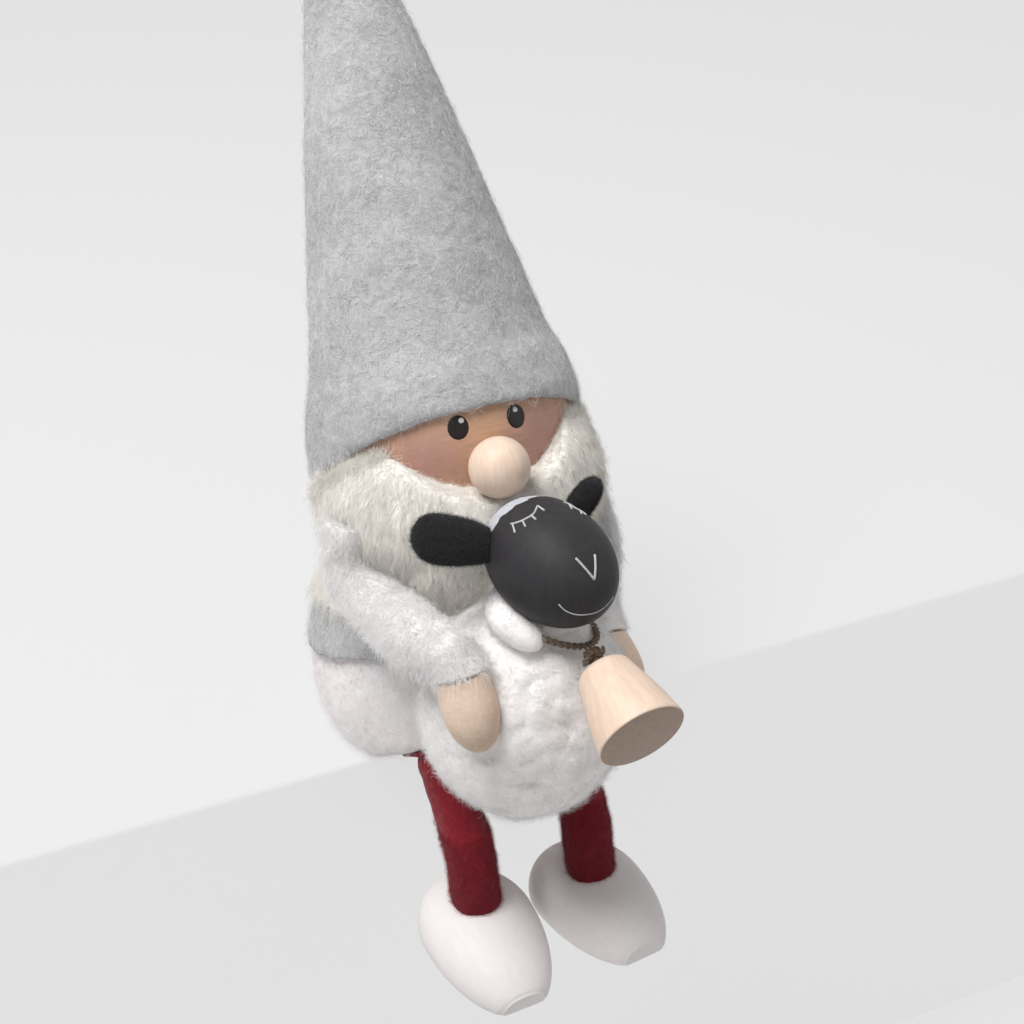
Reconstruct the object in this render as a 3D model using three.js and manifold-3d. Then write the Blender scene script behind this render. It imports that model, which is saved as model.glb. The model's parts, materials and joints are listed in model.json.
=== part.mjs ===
// A seated felt and wood gnome that hugs a toy sheep, in millimetres.
// +Z is up, the front is -Y, and the origin is the middle of the flat seat face.
// Right and left are the gnome's own: its right side is -X.

import * as THREE from 'three';
import { mergeVertices } from 'three/addons/utils/BufferGeometryUtils.js';
import Module from 'manifold-3d';

const wasm = await Module();
wasm.setup();

// Driving dimensions

// Clearance between pieces that touch, and how finely round pieces are faceted
const GAP = 0.3;
const SIDES = 24;
const LIMB_SIDES = 12;
const THIN_SIDES = 8;
const BEAD_SIDES = 20;
const SLEEVE_STEPS = 14;
const WIRE_STEPS = 16;
const LEG_STEPS = 12;
const SHOE_STEPS = 6;
const SHEEP_HEAD_STEPS = 7;
const SMALL_EGG_STEPS = 4;
const BELL_EDGE_STEPS = 3;
const COLLAR_STEPS = 28;
const POINT = 0.05;

// The head's middle stands this far up the leaning torso, and these come as far below it
const HEAD_HEIGHT = 64.3;
const CORE_BELOW_HEAD = 21.3;
const TUNIC_BELOW_HEAD = 14.3;
const NAPE_BELOW_HEAD = 26.3;
const SHEEP_BELOW_HEAD = 15.8;

// Torso: a turned wooden core, leaning back, in a fleece seat and a felt tunic
const LEAN = 7;
const CORE_RADIUS = 25;
const CORE_EDGE = 1;
const CORE_TAPER = 7;
const BODY_SAMPLES = 8;
const CORE_HEIGHT = HEAD_HEIGHT - CORE_BELOW_HEAD;
const SEAT_THICKNESS = 3;
const SEAT_HEIGHT = 25;
const FELT = 2;
const TUNIC_FLARE = 0.7;
const TUNIC_EASE = 0.9;
const CHEST_DRAW = 0.8;
const TUNIC_TOP = HEAD_HEIGHT - TUNIC_BELOW_HEAD;
const HEM_HEIGHT = 19;
const HEM_TILT = 22;

// Outlines of the round body, as points of [share of its height, share of its taper or thickness]
const CORE_PROFILE = [[0.35, 0], [0.65, 0.4], [0.82, 0.8]];
const SEAT_PROFILE = [[0.01, 0.15], [0.12, 0.75], [0.32, 1.1], [0.62, 1], [1, 0.1]];
const TUNIC_WAIST = 0.4;
const TUNIC_CHEST = 0.6;
const TUNIC_SHOULDER = 0.78;

// The underside is flat for the shelf, and rises ahead of its edge to clear the legs
const SEAT_FRONT = 11;
const FRONT_RISE = 35;

// Head, nose and the dowel between head and core
const HEAD_RADIUS = 24.6;
const HEAD_FORWARD = 4;
const HEAD_ASIDE = 0.5;
const HEAD_TURN = -3;
const NECK_DOWEL_DIAMETER = 8;
const NECK_DOWEL_DEPTH = 14;
const NOSE_DIAMETER = 11.2;
const NOSE_SEAT = 0.8;
const NOSE_RISE = 2;
const NOSE_PEG_DIAMETER = 2.5;
const NOSE_PEG_DEPTH = 4;

// Hat: a leaning cone over the head, drawn down to the nape and cut on a slant for the face
const HAT_BASE_RADIUS = 26.2;
const HAT_BULGE = 0.6;
const HAT_LENGTH = 112.5;
const HAT_LEAN = 27.2;
const HAT_SIDE_LEAN = -1.5;
const HAT_TIP_RADIUS = 1.8;
const HAT_TIP_ROUND = 0.7;
const HAT_NAPE = HEAD_HEIGHT - NAPE_BELOW_HEAD;
const FILLING_RISE = 8;
const BRIM_FORWARD = 23;
const BRIM_RISE = 14;
const BRIM_TILT = 44;

// Beard: fur round the lower face and under the brim, down to the shoulders, with a lobe down the chest
const BEARD_WIDTH = 55.4;
const BEARD_DEPTH = 54;
const BEARD_HEIGHT = 46;
const BEARD_FORWARD = 6.4;
const BEARD_DROP = 10;
const BEARD_BACK = 12;
const SHOULDER_FUR = 1.8;
const FUR_HEM = 29.5;
const FUR_HEM_TILT = 12;
const LOBE_WIDTH = 36;
const LOBE_DEPTH = 17;
const LOBE_HEIGHT = 34;
const LOBE_FORWARD = 24.5;
const LOBE_DROP = 16;
const FACE_WIDTH = 39.4;
const FACE_HEIGHT = 24;
const FACE_RISE = 10.5;

// Sheep: a fleece body on a wooden core, pressed to the belly, and a turned head on a dowel
const SHEEP_WIDTH = 39;
const SHEEP_DEPTH = 37.2;
const SHEEP_ASIDE = -3;
const SHEEP_LAP = 5.5;
const SHEEP_TOP = HEAD_HEIGHT - SHEEP_BELOW_HEAD;
const SHEEP_HEIGHT = SHEEP_TOP - SHEEP_LAP;
const SHEEP_LIFT = SHEEP_LAP + SHEEP_HEIGHT / 2;
const SHEEP_PRESS = 1;
const FLEECE = 4.5;
const SHEEP_HEAD_LENGTH = 29;
const SHEEP_HEAD_DIAMETER = 20.8;
const SHEEP_HEAD_ASIDE = 3.5;
const SHEEP_HEAD_FORWARD = 2.9;
const SHEEP_HEAD_TURN = 8;
const SHEEP_HEAD_NOD = 3;
const SHEEP_DOWEL_DIAMETER = 6;
const SHEEP_DOWEL_DEPTH = 6;

// Ears: from a root, in shares of the sheep's head from its middle to its sides, its front and its top,
// to the middle of the round tip, in millimetres from the root
const EAR_WIDTH = 9;
const EAR_THICKNESS = 4;
const EAR_ROOT_WIDTH = 4.6;
const EARS = {
  right: { root: [-0.77, 0.34, 0.24], tip: [-10.4, 2, 3], face: [0, -0.7, 0.7] },
  left: { root: [0.53, 0.34, 0.34], tip: [4.3, 2, 2.6], face: [0.6, -0.6, -0.3] },
};

// Twine collar with its knot in front, and the wooden bell on a short twine
const TWINE = 1.8;
const COLLAR_RADIUS = 9;
const COLLAR_DROP = 1.5;
const COLLAR_TILT = 2;
const COLLAR_LEAN = 22;
const KNOT_TURN = 15;
const KNOT_DIAMETER = 3.6;
const BELL_TWINE = 0.8;
const BELL_LENGTH = 15;
const BELL_MOUTH_DIAMETER = 16.2;
const BELL_TOP_DIAMETER = 10.4;
const BELL_EDGE = 2.2;
const BELL_LIP = 0.4;
const BELL_FLARE = [0.55, 0.58];
const BELL_DROP = 20;
const BELL_TURN = 3;
const BELL_HOLE_DEPTH = 5;

// Arms: bent fleece sleeves on a wire, each with a turned hand, measured from the shoulder
const SLEEVE_DIAMETER = 11.3;
const SHOULDER_DIAMETER = 9.6;
const SHOULDER_SHARE = 0.4;
const CUFF_DIAMETER = 9.6;
const CUFF_SHARE = 0.65;
const ARM_WIRE = 1.6;
const WIRE_GRIP = 5;
const HAND_DIAMETER = 9.8;
const HAND_LENGTH = 13.4;
const HAND_WIDEST = 5;
const HAND_BASE_SHARE = 0.91;
const TENON_DIAMETER = 6;
const TENON_DEPTH = 2.4;
const ARM_SWING = 40;
const SWING_STEPS = 4;
const SHOULDERS = {
  right: [-24.2, -9.5, HEAD_HEIGHT - 9.3],
  left: [22.3, -10.5, HEAD_HEIGHT - 14.3],
};
const ARMS = {
  right: [[0, 0, 0], [-0.6, -0.5, -5.5], [-0.5, -3, -10.3], [0.6, -8, -12.6], [1.8, -17, -12.6],
    [2.2, -30, -9.4], [3.9, -34.8, -8.4], [5, -37.3, -9.2], [5.2, -38.4, -11.2]],
  left: [[0, 0, 0], [0.7, -2.5, -7], [0.4, -4.9, -14.5], [-0.9, -9, -21.5], [-0.7, -14.5, -25.2]],
};

// Legs: felt tubes from a tab under the seat's front, each in the hole of a half-egg shoe.
// The route is measured forward from the seat's front edge, and up
const LEG_DIAMETER = 9.8;
const LEG_ASIDE = 0.5;
const HIP_SPACING = 25;
const ANKLE_SPACING = 25;
const LEG_ROUTE = [[10.5, 3.2], [15, -0.8], [20.4, -5.6], [24.2, -11.2], [26.4, -20.2]];
const LEG_SWING = { back: -10, forward: 35 };
const TAB_WIDTH = 11;
const TAB_THICKNESS = 0.8;
const TAB_START = 2;

// Shoes: half an egg on a flat sole, measured from its widest place to the heel and to the toe's facet
const SHOE_BACK = 13.3;
const SHOE_FRONT = 19.8;
const SHOE_WIDTH = 23.6;
const SHOE_FLATNESS = 0.72;
const SHOE_TOE_DIAMETER = 9.3;
const SHOE_HEEL_DIAMETER = 3;
const SHOE_SOLE_DROP = 0.2;
const SHOE_HOLE_DEPTH = 4.5;
const SHOES = {
  right: { middle: [-11.6, -37.4, -27.6], drop: 11.5, turn: 2.7 },
  left: { middle: [13.3, -36.6, -28.8], drop: 2.8, turn: 6.6 },
};

// Colours of the pieces
const GREY_FELT = 0xb4b5b6;
const WHITE_FLEECE = 0xe4e0dc;
const FUR = 0xe3dcd0;
const FACE_WOOD = 0xc8966f;
const PALE_WOOD = 0xe2c9ac;
const CORE_WOOD = 0xd9bd93;
const BLACK_PAINT = 0x2e2d2f;
const BLACK_FELT = 0x171718;
const RED_FELT = 0x8a1526;
const WHITE_PAINT = 0xe0dbd9;
const JUTE = 0x8a7358;
const STEEL = 0x9a9a9a;

// Shared helpers

const radians = THREE.MathUtils.degToRad;
const { lerp, smoothstep } = THREE.MathUtils;

function vector(point) {
  return new THREE.Vector3(...point);
}

// A closed three.js geometry as a solid that can be joined and cut
function solidOf(geometry) {
  const bare = geometry.clone();
  bare.deleteAttribute('normal');
  bare.deleteAttribute('uv');
  const merged = mergeVertices(bare, 1e-4);
  return new wasm.Manifold(new wasm.Mesh({
    numProp: 3,
    vertProperties: new Float32Array(merged.attributes.position.array),
    triVerts: new Uint32Array(merged.index.array),
  }));
}

function geometryOf(solid) {
  const mesh = solid.getMesh();
  const geometry = new THREE.BufferGeometry();
  geometry.setAttribute('position', new THREE.BufferAttribute(new Float32Array(mesh.vertProperties), 3));
  geometry.setIndex(new THREE.BufferAttribute(new Uint32Array(mesh.triVerts), 1));
  return geometry;
}

function cut(solid, ...tools) {
  return tools.reduce((rest, tool) => rest.subtract(tool), solid);
}

// Rings of equal count joined into a closed solid, with a flat or pointed cap at each end
function skinned(rings) {
  const count = rings[0].length;
  const centreOf = (ring) => ring.reduce((sum, p) => sum.add(p), new THREE.Vector3()).divideScalar(count);
  const points = [...rings.flat(), centreOf(rings[0]), centreOf(rings.at(-1))];
  const first = rings.length * count;
  const last = first + 1;
  const faces = [];
  for (let i = 0; i < count; i += 1) {
    const next = (i + 1) % count;
    faces.push(first, next, i);
    faces.push(last, (rings.length - 1) * count + i, (rings.length - 1) * count + next);
    for (let k = 0; k + 1 < rings.length; k += 1) {
      const low = k * count;
      const high = low + count;
      faces.push(low + i, low + next, high + next, low + i, high + next, high + i);
    }
  }
  const geometry = new THREE.BufferGeometry();
  geometry.setAttribute('position', new THREE.Float32BufferAttribute(points.flatMap((p) => p.toArray()), 3));
  geometry.setIndex(faces);
  return solidOf(geometry);
}

// A ring of points about a centre, square to an axis, flattened by a share square to its first direction
function ringAt(centre, along, across, radius, sides, flat = 1) {
  const third = new THREE.Vector3().crossVectors(along, across);
  return Array.from({ length: sides }, (_, i) => {
    const angle = (2 * Math.PI * i) / sides;
    return centre.clone()
      .addScaledVector(across, radius * Math.cos(angle))
      .addScaledVector(third, flat * radius * Math.sin(angle));
  });
}

// A turned solid about the line from a point along an axis, from [distance, radius] points
function turned(start, axis, outline, sides = SIDES) {
  const along = axis.clone().normalize();
  const helper = Math.abs(along.x) > 0.9 ? new THREE.Vector3(0, 1, 0) : new THREE.Vector3(1, 0, 0);
  const across = new THREE.Vector3().crossVectors(helper, along).normalize();
  const rings = outline.map(([distance, radius]) =>
    ringAt(start.clone().addScaledVector(along, distance), along, across, radius, sides));
  return skinned(rings);
}

// A round rod between two points, longer at both ends by its growth
function rod(from, to, diameter, grow = 0, sides = LIMB_SIDES) {
  const axis = to.clone().sub(from);
  const radius = diameter / 2 + grow;
  return turned(from, axis, [[-grow, radius], [axis.length() + grow, radius]], sides);
}

// An egg's [distance, radius] points between a facet at each end, widest at a distance from its start
function eggOutline(length, radius, widest, startRadius, endRadius, steps) {
  const startAngle = Math.asin(startRadius / radius);
  const endAngle = Math.asin(endRadius / radius);
  const startReach = widest / Math.cos(startAngle);
  const endReach = (length - widest) / Math.cos(endAngle);
  const points = [];
  for (let i = 0; i <= steps; i += 1) {
    const angle = lerp(startAngle, Math.PI / 2, i / steps);
    points.push([widest - startReach * Math.cos(angle), radius * Math.sin(angle)]);
  }
  for (let i = 1; i <= steps; i += 1) {
    const angle = lerp(Math.PI / 2, endAngle, i / steps);
    points.push([widest + endReach * Math.cos(angle), radius * Math.sin(angle)]);
  }
  return points;
}

function ellipsoid(centre, width, depth, height, sides = SIDES) {
  const geometry = new THREE.SphereGeometry(0.5, sides, sides / 2);
  geometry.rotateX(Math.PI / 2);
  geometry.scale(width, depth, height);
  geometry.translate(...centre.toArray());
  return solidOf(geometry);
}

function ball(centre, radius, sides = SIDES) {
  return ellipsoid(centre, 2 * radius, 2 * radius, 2 * radius, sides);
}

// A tapered tube along a smooth route, its radius a function of the share of the way along
function limb(route, radiusAt, steps, sides = LIMB_SIDES) {
  const curve = new THREE.CatmullRomCurve3(route);
  const frames = curve.computeFrenetFrames(steps, false);
  const rings = frames.tangents.map((tangent, i) =>
    ringAt(curve.getPointAt(i / steps), tangent, frames.normals[i], radiusAt(i / steps), sides));
  return skinned(rings);
}

// A route made longer by straight pieces at its start and its end
function extended(route, before, after) {
  const start = route[0].clone().sub(route[1]).setLength(before).add(route[0]);
  const end = route.at(-1).clone().sub(route.at(-2)).setLength(after).add(route.at(-1));
  return [...(before > 0 ? [start] : []), ...route, ...(after > 0 ? [end] : [])];
}

// Everything on the far side of a plane, as a block large enough for any piece here
function halfSpace(point, normal) {
  const size = 8 * HAT_LENGTH;
  const geometry = new THREE.BoxGeometry(size, size, size);
  geometry.translate(0, 0, size / 2);
  geometry.applyQuaternion(new THREE.Quaternion().setFromUnitVectors(
    new THREE.Vector3(0, 0, 1), normal.clone().normalize()));
  geometry.translate(...point.toArray());
  return solidOf(geometry);
}

// A direction that slopes down from the front by an angle, turned to the left side by another
function frontward(drop, turn = 0) {
  const across = Math.cos(radians(drop));
  return new THREE.Vector3(
    across * Math.sin(radians(turn)), -across * Math.cos(radians(turn)), -Math.sin(radians(drop)));
}

const part = new THREE.Group();
part.name = 'seated_gnome_with_sheep';

// A group whose own origin is the point that its pieces turn about
function pivotGroup(name, point) {
  const group = new THREE.Group();
  group.name = name;
  group.position.copy(point);
  part.add(group);
  return group;
}

// A solid in the part's own coordinates, as a named mesh of the part or of one of its groups
function add(name, solid, color, roughness = 0.95, group = part) {
  const geometry = geometryOf(solid);
  geometry.translate(...group.position.clone().negate().toArray());
  geometry.computeVertexNormals();
  const metalness = color === STEEL ? 1 : 0;
  const mesh = new THREE.Mesh(geometry, new THREE.MeshStandardMaterial({ color, roughness, metalness }));
  mesh.name = name;
  group.add(mesh);
}

// Torso frame: height above the seat face along the leaning body

const UP = new THREE.Vector3(0, Math.sin(radians(LEAN)), Math.cos(radians(LEAN)));
const FORWARD = new THREE.Vector3(0, -Math.cos(radians(LEAN)), Math.sin(radians(LEAN)));

function onBody(height, forward = 0, side = 0) {
  return new THREE.Vector3(side, 0, 0).addScaledVector(UP, height).addScaledVector(FORWARD, forward);
}

// A round body along the leaning spine, whose sections come level with the seat face below the hem
function bodyForm(outline, grow = 0) {
  const curve = new THREE.SplineCurve(outline.map((point) => new THREE.Vector2(...point)));
  const rings = curve.getPoints(BODY_SAMPLES).map(({ x: height, y: radius }) => {
    const tilt = radians(LEAN) * THREE.MathUtils.clamp(height / HEM_HEIGHT, 0, 1);
    const along = new THREE.Vector3(0, Math.sin(tilt), Math.cos(tilt));
    return ringAt(onBody(height), along, new THREE.Vector3(1, 0, 0), radius + grow, SIDES);
  });
  return skinned(rings);
}

const coreOutline = (top) => [
  [0, CORE_RADIUS - CORE_EDGE],
  ...CORE_PROFILE.map(([height, taper]) => [height * CORE_HEIGHT, CORE_RADIUS - taper * CORE_TAPER]),
  [top, CORE_RADIUS - CORE_TAPER]];

const seatOutline = SEAT_PROFILE.map(([height, thickness]) => [
  height * SEAT_HEIGHT, CORE_RADIUS + thickness * SEAT_THICKNESS]);

const HEM_RADIUS = CORE_RADIUS + SEAT_THICKNESS + TUNIC_FLARE;
const NECK_RADIUS = CORE_RADIUS - CORE_TAPER + GAP + FELT;

const tunicOutline = [
  [0, HEM_RADIUS], [TUNIC_WAIST * TUNIC_TOP, HEM_RADIUS],
  [TUNIC_CHEST * TUNIC_TOP, CORE_RADIUS - CHEST_DRAW],
  [TUNIC_SHOULDER * TUNIC_TOP, NECK_RADIUS + TUNIC_EASE], [TUNIC_TOP, NECK_RADIUS]];

const coreForm = (top, grow) => bodyForm(coreOutline(top), grow);
const seatForm = (grow) => bodyForm(seatOutline, grow);
const tunicForm = (grow) => bodyForm(tunicOutline, grow);

const frontRise = halfSpace(new THREE.Vector3(0, -SEAT_FRONT, 0), new THREE.Vector3(
  0, -Math.sin(radians(FRONT_RISE)), -Math.cos(radians(FRONT_RISE))));

const belowHem = halfSpace(onBody(HEM_HEIGHT), new THREE.Vector3(
  0, -Math.sin(radians(HEM_TILT)), -Math.cos(radians(HEM_TILT))));

// Head, nose and their dowels

const HEAD_CENTRE = onBody(HEAD_HEIGHT, HEAD_FORWARD, HEAD_ASIDE);
const headBall = (grow) => ball(HEAD_CENTRE, HEAD_RADIUS + grow);

const neckDowel = (grow) => rod(
  HEAD_CENTRE.clone().addScaledVector(UP, -HEAD_RADIUS - NECK_DOWEL_DEPTH),
  HEAD_CENTRE.clone().addScaledVector(UP, -HEAD_RADIUS + NECK_DOWEL_DEPTH),
  NECK_DOWEL_DIAMETER, grow);

const FACING = FORWARD.clone().applyAxisAngle(UP, radians(HEAD_TURN));
const noseAxis = FACING.clone().applyAxisAngle(new THREE.Vector3(1, 0, 0), -radians(NOSE_RISE));
const noseSeat = HEAD_CENTRE.clone().addScaledVector(noseAxis, HEAD_RADIUS);
const noseCentre = noseSeat.clone().addScaledVector(noseAxis, NOSE_DIAMETER / 2 - NOSE_SEAT);
const noseForm = (grow) => ball(noseCentre, NOSE_DIAMETER / 2 + grow, BEAD_SIDES);
const nosePeg = (grow) => rod(
  noseSeat.clone().addScaledVector(noseAxis, -NOSE_PEG_DEPTH),
  noseSeat.clone().addScaledVector(noseAxis, NOSE_PEG_DEPTH),
  NOSE_PEG_DIAMETER, grow, THIN_SIDES);

add('head', cut(headBall(0), neckDowel(GAP), nosePeg(GAP)), FACE_WOOD, 0.6);
add('nose', cut(noseForm(0), headBall(GAP), nosePeg(GAP)), PALE_WOOD, 0.55);
add('nose_peg', nosePeg(0), CORE_WOOD, 0.7);
add('neck_dowel', neckDowel(0), CORE_WOOD, 0.7);

// Hat and the filling that holds it up

const HAT_AXIS = new THREE.Vector3(0, Math.sin(radians(HAT_LEAN)), Math.cos(radians(HAT_LEAN)))
  .applyAxisAngle(new THREE.Vector3(0, 1, 0), radians(HAT_SIDE_LEAN));

// The cone alone, its wall moved in by an inset
function hatCone(inset) {
  const slope = (HAT_BASE_RADIUS - HAT_TIP_RADIUS) / HAT_LENGTH;
  const tip = Math.max(HAT_TIP_RADIUS - inset, HAT_TIP_RADIUS / 4);
  const height = (HAT_BASE_RADIUS - inset - tip) / slope;
  const middle = (HAT_BASE_RADIUS - inset + tip) / 2 + HAT_BULGE;
  return turned(HEAD_CENTRE, HAT_AXIS, [
    [0, HAT_BASE_RADIUS - inset], [height / 2, middle], [height, tip],
    [height + HAT_TIP_ROUND * tip, HAT_TIP_ROUND * tip], [height + tip, POINT]]);
}

// The whole hat's form: the cone, the round of the head and the drop to the nape
function hatForm(inset) {
  const round = HEAD_RADIUS + GAP + FELT - inset;
  const nape = turned(HEAD_CENTRE, UP.clone().negate(), [[0, round], [HEAD_HEIGHT - HAT_NAPE, round]]);
  return hatCone(inset).add(ball(HEAD_CENTRE, round)).add(nape);
}

const brimPoint = HEAD_CENTRE.clone().add(new THREE.Vector3(0, -BRIM_FORWARD, BRIM_RISE));
const brimNormal = new THREE.Vector3(0, -Math.sin(radians(BRIM_TILT)), -Math.cos(radians(BRIM_TILT)));
const belowBrim = (gap) => halfSpace(brimPoint.clone().addScaledVector(brimNormal, gap), brimNormal);
const aboveBrim = halfSpace(brimPoint.clone().addScaledVector(brimNormal, GAP), brimNormal.clone().negate());
const hatBlock = cut(hatForm(-GAP), belowBrim(GAP));

// The nape below the head's round is open, so that the top of the core fits up inside it
const napeOpening = turned(
  onBody(HAT_NAPE - GAP, HEAD_FORWARD, HEAD_ASIDE), UP,
  [[0, HEAD_RADIUS + GAP], [HEAD_HEIGHT - HAT_NAPE, HEAD_RADIUS + GAP]]);

add('hat', cut(
  hatForm(0), hatForm(FELT), napeOpening, belowBrim(0), coreForm(CORE_HEIGHT, GAP)), GREY_FELT);

const belowFilling = halfSpace(
  HEAD_CENTRE.clone().addScaledVector(HAT_AXIS, FILLING_RISE), HAT_AXIS.clone().negate());

add('hat_filling', cut(hatCone(FELT + GAP), headBall(GAP), belowFilling), WHITE_FLEECE);

// Legs: each a tube from its hip, round at the top where it turns, down into its shoe

function legRoute(side) {
  const outward = side === 'right' ? -0.5 : 0.5;
  return LEG_ROUTE.map(([forward, height], i) => new THREE.Vector3(
    LEG_ASIDE + outward * lerp(HIP_SPACING, ANKLE_SPACING, i / (LEG_ROUTE.length - 1)),
    -SEAT_FRONT - forward, height));
}

// A leg swung about its hip by an angle, forward or back
function legForm(side, grow, swing = 0) {
  const route = extended(legRoute(side), 0, SHOE_HOLE_DEPTH + grow);
  const hip = route[0].clone();
  const swung = route.map((point) => point.clone().sub(hip)
    .applyAxisAngle(new THREE.Vector3(1, 0, 0), -radians(swing))
    .add(hip));
  return limb(swung, () => LEG_DIAMETER / 2 + grow, LEG_STEPS).add(ball(hip, LEG_DIAMETER / 2 + grow));
}

// The room that a leg takes as it swings
function legSweep(side, grow) {
  return [LEG_SWING.back, LEG_SWING.forward].reduce(
    (room, swing) => room.add(legForm(side, grow, swing)), legForm(side, grow));
}

// Torso pieces

const legSweeps = ['right', 'left'].map((side) => legSweep(side, GAP));

add('body_core', cut(
  coreForm(CORE_HEIGHT, 0), headBall(GAP), neckDowel(GAP), frontRise, ...legSweeps), CORE_WOOD, 0.7);
add('fleece_seat', cut(seatForm(0), coreForm(CORE_HEIGHT, GAP), frontRise, ...legSweeps), WHITE_FLEECE);

// Arms: the sleeve's curve, the wire along it and the hand at its end

// An arm's route, turned outward at the shoulder by an angle
function armRoute(side, swing = 0) {
  const outward = side === 'right' ? -radians(swing) : radians(swing);
  return ARMS[side].map((point) => vector(point)
    .applyAxisAngle(new THREE.Vector3(0, 0, 1), outward)
    .add(vector(SHOULDERS[side])));
}

function sleeveForm(side, grow, swing = 0) {
  const radiusAt = (share) => grow + 0.5 * (share < SHOULDER_SHARE
    ? lerp(SHOULDER_DIAMETER, SLEEVE_DIAMETER, smoothstep(share, 0, SHOULDER_SHARE))
    : lerp(SLEEVE_DIAMETER, CUFF_DIAMETER, smoothstep(share, CUFF_SHARE, 1)));
  return limb(armRoute(side, swing), radiusAt, SLEEVE_STEPS);
}

// The room that a sleeve takes as its arm swings open
function sleeveSweep(side, grow) {
  const swings = Array.from({ length: SWING_STEPS + 1 }, (_, i) => (i * ARM_SWING) / SWING_STEPS);
  return swings.map((swing) => sleeveForm(side, grow, swing)).reduce((room, form) => room.add(form));
}

// A dome against the sleeve's end, with a tenon in the cuff
function handForm(side, grow) {
  const route = armRoute(side);
  const axis = new THREE.CatmullRomCurve3(route).getTangentAt(1);
  const radius = HAND_DIAMETER / 2;
  const dome = eggOutline(
    HAND_LENGTH + grow, radius + grow, HAND_WIDEST, HAND_BASE_SHARE * radius, POINT, SMALL_EGG_STEPS);
  return turned(route.at(-1), axis, [
    [-TENON_DEPTH - grow, TENON_DIAMETER / 2 + grow], [2 * GAP - grow, TENON_DIAMETER / 2 + grow],
    ...dome.map(([distance, width]) => [2 * GAP + distance, width])], LIMB_SIDES);
}

const armWire = (side, before, grow) => limb(
  extended(armRoute(side), before, WIRE_GRIP + grow), () => ARM_WIRE / 2 + grow, WIRE_STEPS, THIN_SIDES);

// Sheep: the places of its body and head, and the forms that cut one another

const bellyFront = onBody(SHEEP_LIFT, CORE_RADIUS + TUNIC_EASE);
const SHEEP_CENTRE = new THREE.Vector3(
  SHEEP_ASIDE, bellyFront.y - SHEEP_DEPTH / 2 + SHEEP_PRESS, SHEEP_LIFT);
const NECK = new THREE.Vector3(
  SHEEP_ASIDE + SHEEP_HEAD_ASIDE, SHEEP_CENTRE.y - SHEEP_HEAD_FORWARD, SHEEP_TOP - COLLAR_DROP);
const SHEEP_HEAD_CENTRE = new THREE.Vector3(
  NECK.x, NECK.y, SHEEP_TOP + SHEEP_HEAD_DIAMETER / 2);

const SHEEP_HEAD_HALF = new THREE.Vector3(
  SHEEP_HEAD_DIAMETER / 2, SHEEP_HEAD_LENGTH / 2, SHEEP_HEAD_DIAMETER / 2);

const fleeceForm = (grow) => ellipsoid(
  SHEEP_CENTRE, SHEEP_WIDTH + 2 * grow, SHEEP_DEPTH + 2 * grow, SHEEP_HEIGHT + 2 * grow);

function sheepHeadForm(grow) {
  const axis = frontward(SHEEP_HEAD_NOD, SHEEP_HEAD_TURN);
  const length = SHEEP_HEAD_LENGTH + 2 * grow;
  const start = SHEEP_HEAD_CENTRE.clone().addScaledVector(axis, -length / 2);
  return turned(start, axis, eggOutline(
    length, SHEEP_HEAD_DIAMETER / 2 + grow, length / 2, POINT, POINT, SHEEP_HEAD_STEPS));
}

const sheepDowel = (grow) => rod(
  new THREE.Vector3(NECK.x, NECK.y, SHEEP_TOP - FLEECE - SHEEP_DOWEL_DEPTH),
  new THREE.Vector3(NECK.x, NECK.y, SHEEP_TOP + SHEEP_DOWEL_DEPTH),
  SHEEP_DOWEL_DIAMETER, grow);

function collarForm(grow) {
  const geometry = new THREE.TorusGeometry(COLLAR_RADIUS, TWINE / 2 + grow, THIN_SIDES, COLLAR_STEPS);
  geometry.rotateX(radians(COLLAR_TILT));
  geometry.rotateY(radians(COLLAR_LEAN));
  geometry.translate(...NECK.toArray());
  return solidOf(geometry);
}

// Beard: the fur round the head, its lobe on the chest and the fur over the shoulders

const cheekFur = ellipsoid(
  HEAD_CENTRE.clone().add(new THREE.Vector3(0, -BEARD_FORWARD, -BEARD_DROP)),
  BEARD_WIDTH, BEARD_DEPTH, BEARD_HEIGHT);
const chestFur = ellipsoid(
  HEAD_CENTRE.clone().add(new THREE.Vector3(0, -LOBE_FORWARD, -LOBE_DROP)),
  LOBE_WIDTH, LOBE_DEPTH, LOBE_HEIGHT);
const shoulderFur = cut(tunicForm(SHOULDER_FUR), halfSpace(onBody(FUR_HEM), new THREE.Vector3(
  0, -Math.sin(radians(FUR_HEM_TILT)), -Math.cos(radians(FUR_HEM_TILT)))));
const behindBeard = halfSpace(
  HEAD_CENTRE.clone().add(new THREE.Vector3(0, BEARD_BACK, 0)), new THREE.Vector3(0, 1, 0));

add('beard', cut(
  cheekFur.add(chestFur).add(shoulderFur),
  headBall(GAP), tunicForm(GAP), coreForm(TUNIC_TOP, GAP), aboveBrim, hatBlock, behindBeard, faceOpening(),
  noseForm(GAP), sheepHeadForm(GAP), fleeceForm(GAP), collarForm(GAP),
  sleeveSweep('right', GAP), sleeveSweep('left', GAP)), FUR);

// The oval that the face looks out of, from the middle of the head to beyond the beard
function faceOpening() {
  const geometry = new THREE.CylinderGeometry(0.5, 0.5, 1, SIDES);
  geometry.translate(0, -0.5, 0);
  geometry.scale(FACE_WIDTH, 2 * HEAD_RADIUS, FACE_HEIGHT);
  geometry.rotateZ(radians(HEAD_TURN));
  geometry.translate(HEAD_CENTRE.x, HEAD_CENTRE.y, HEAD_CENTRE.z + FACE_RISE);
  return solidOf(geometry);
}

add('tunic', cut(
  tunicForm(0), seatForm(GAP), coreForm(TUNIC_TOP + FELT, GAP), headBall(GAP), hatBlock, belowHem,
  sleeveForm('right', GAP), sleeveForm('left', GAP)), GREY_FELT);

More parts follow.
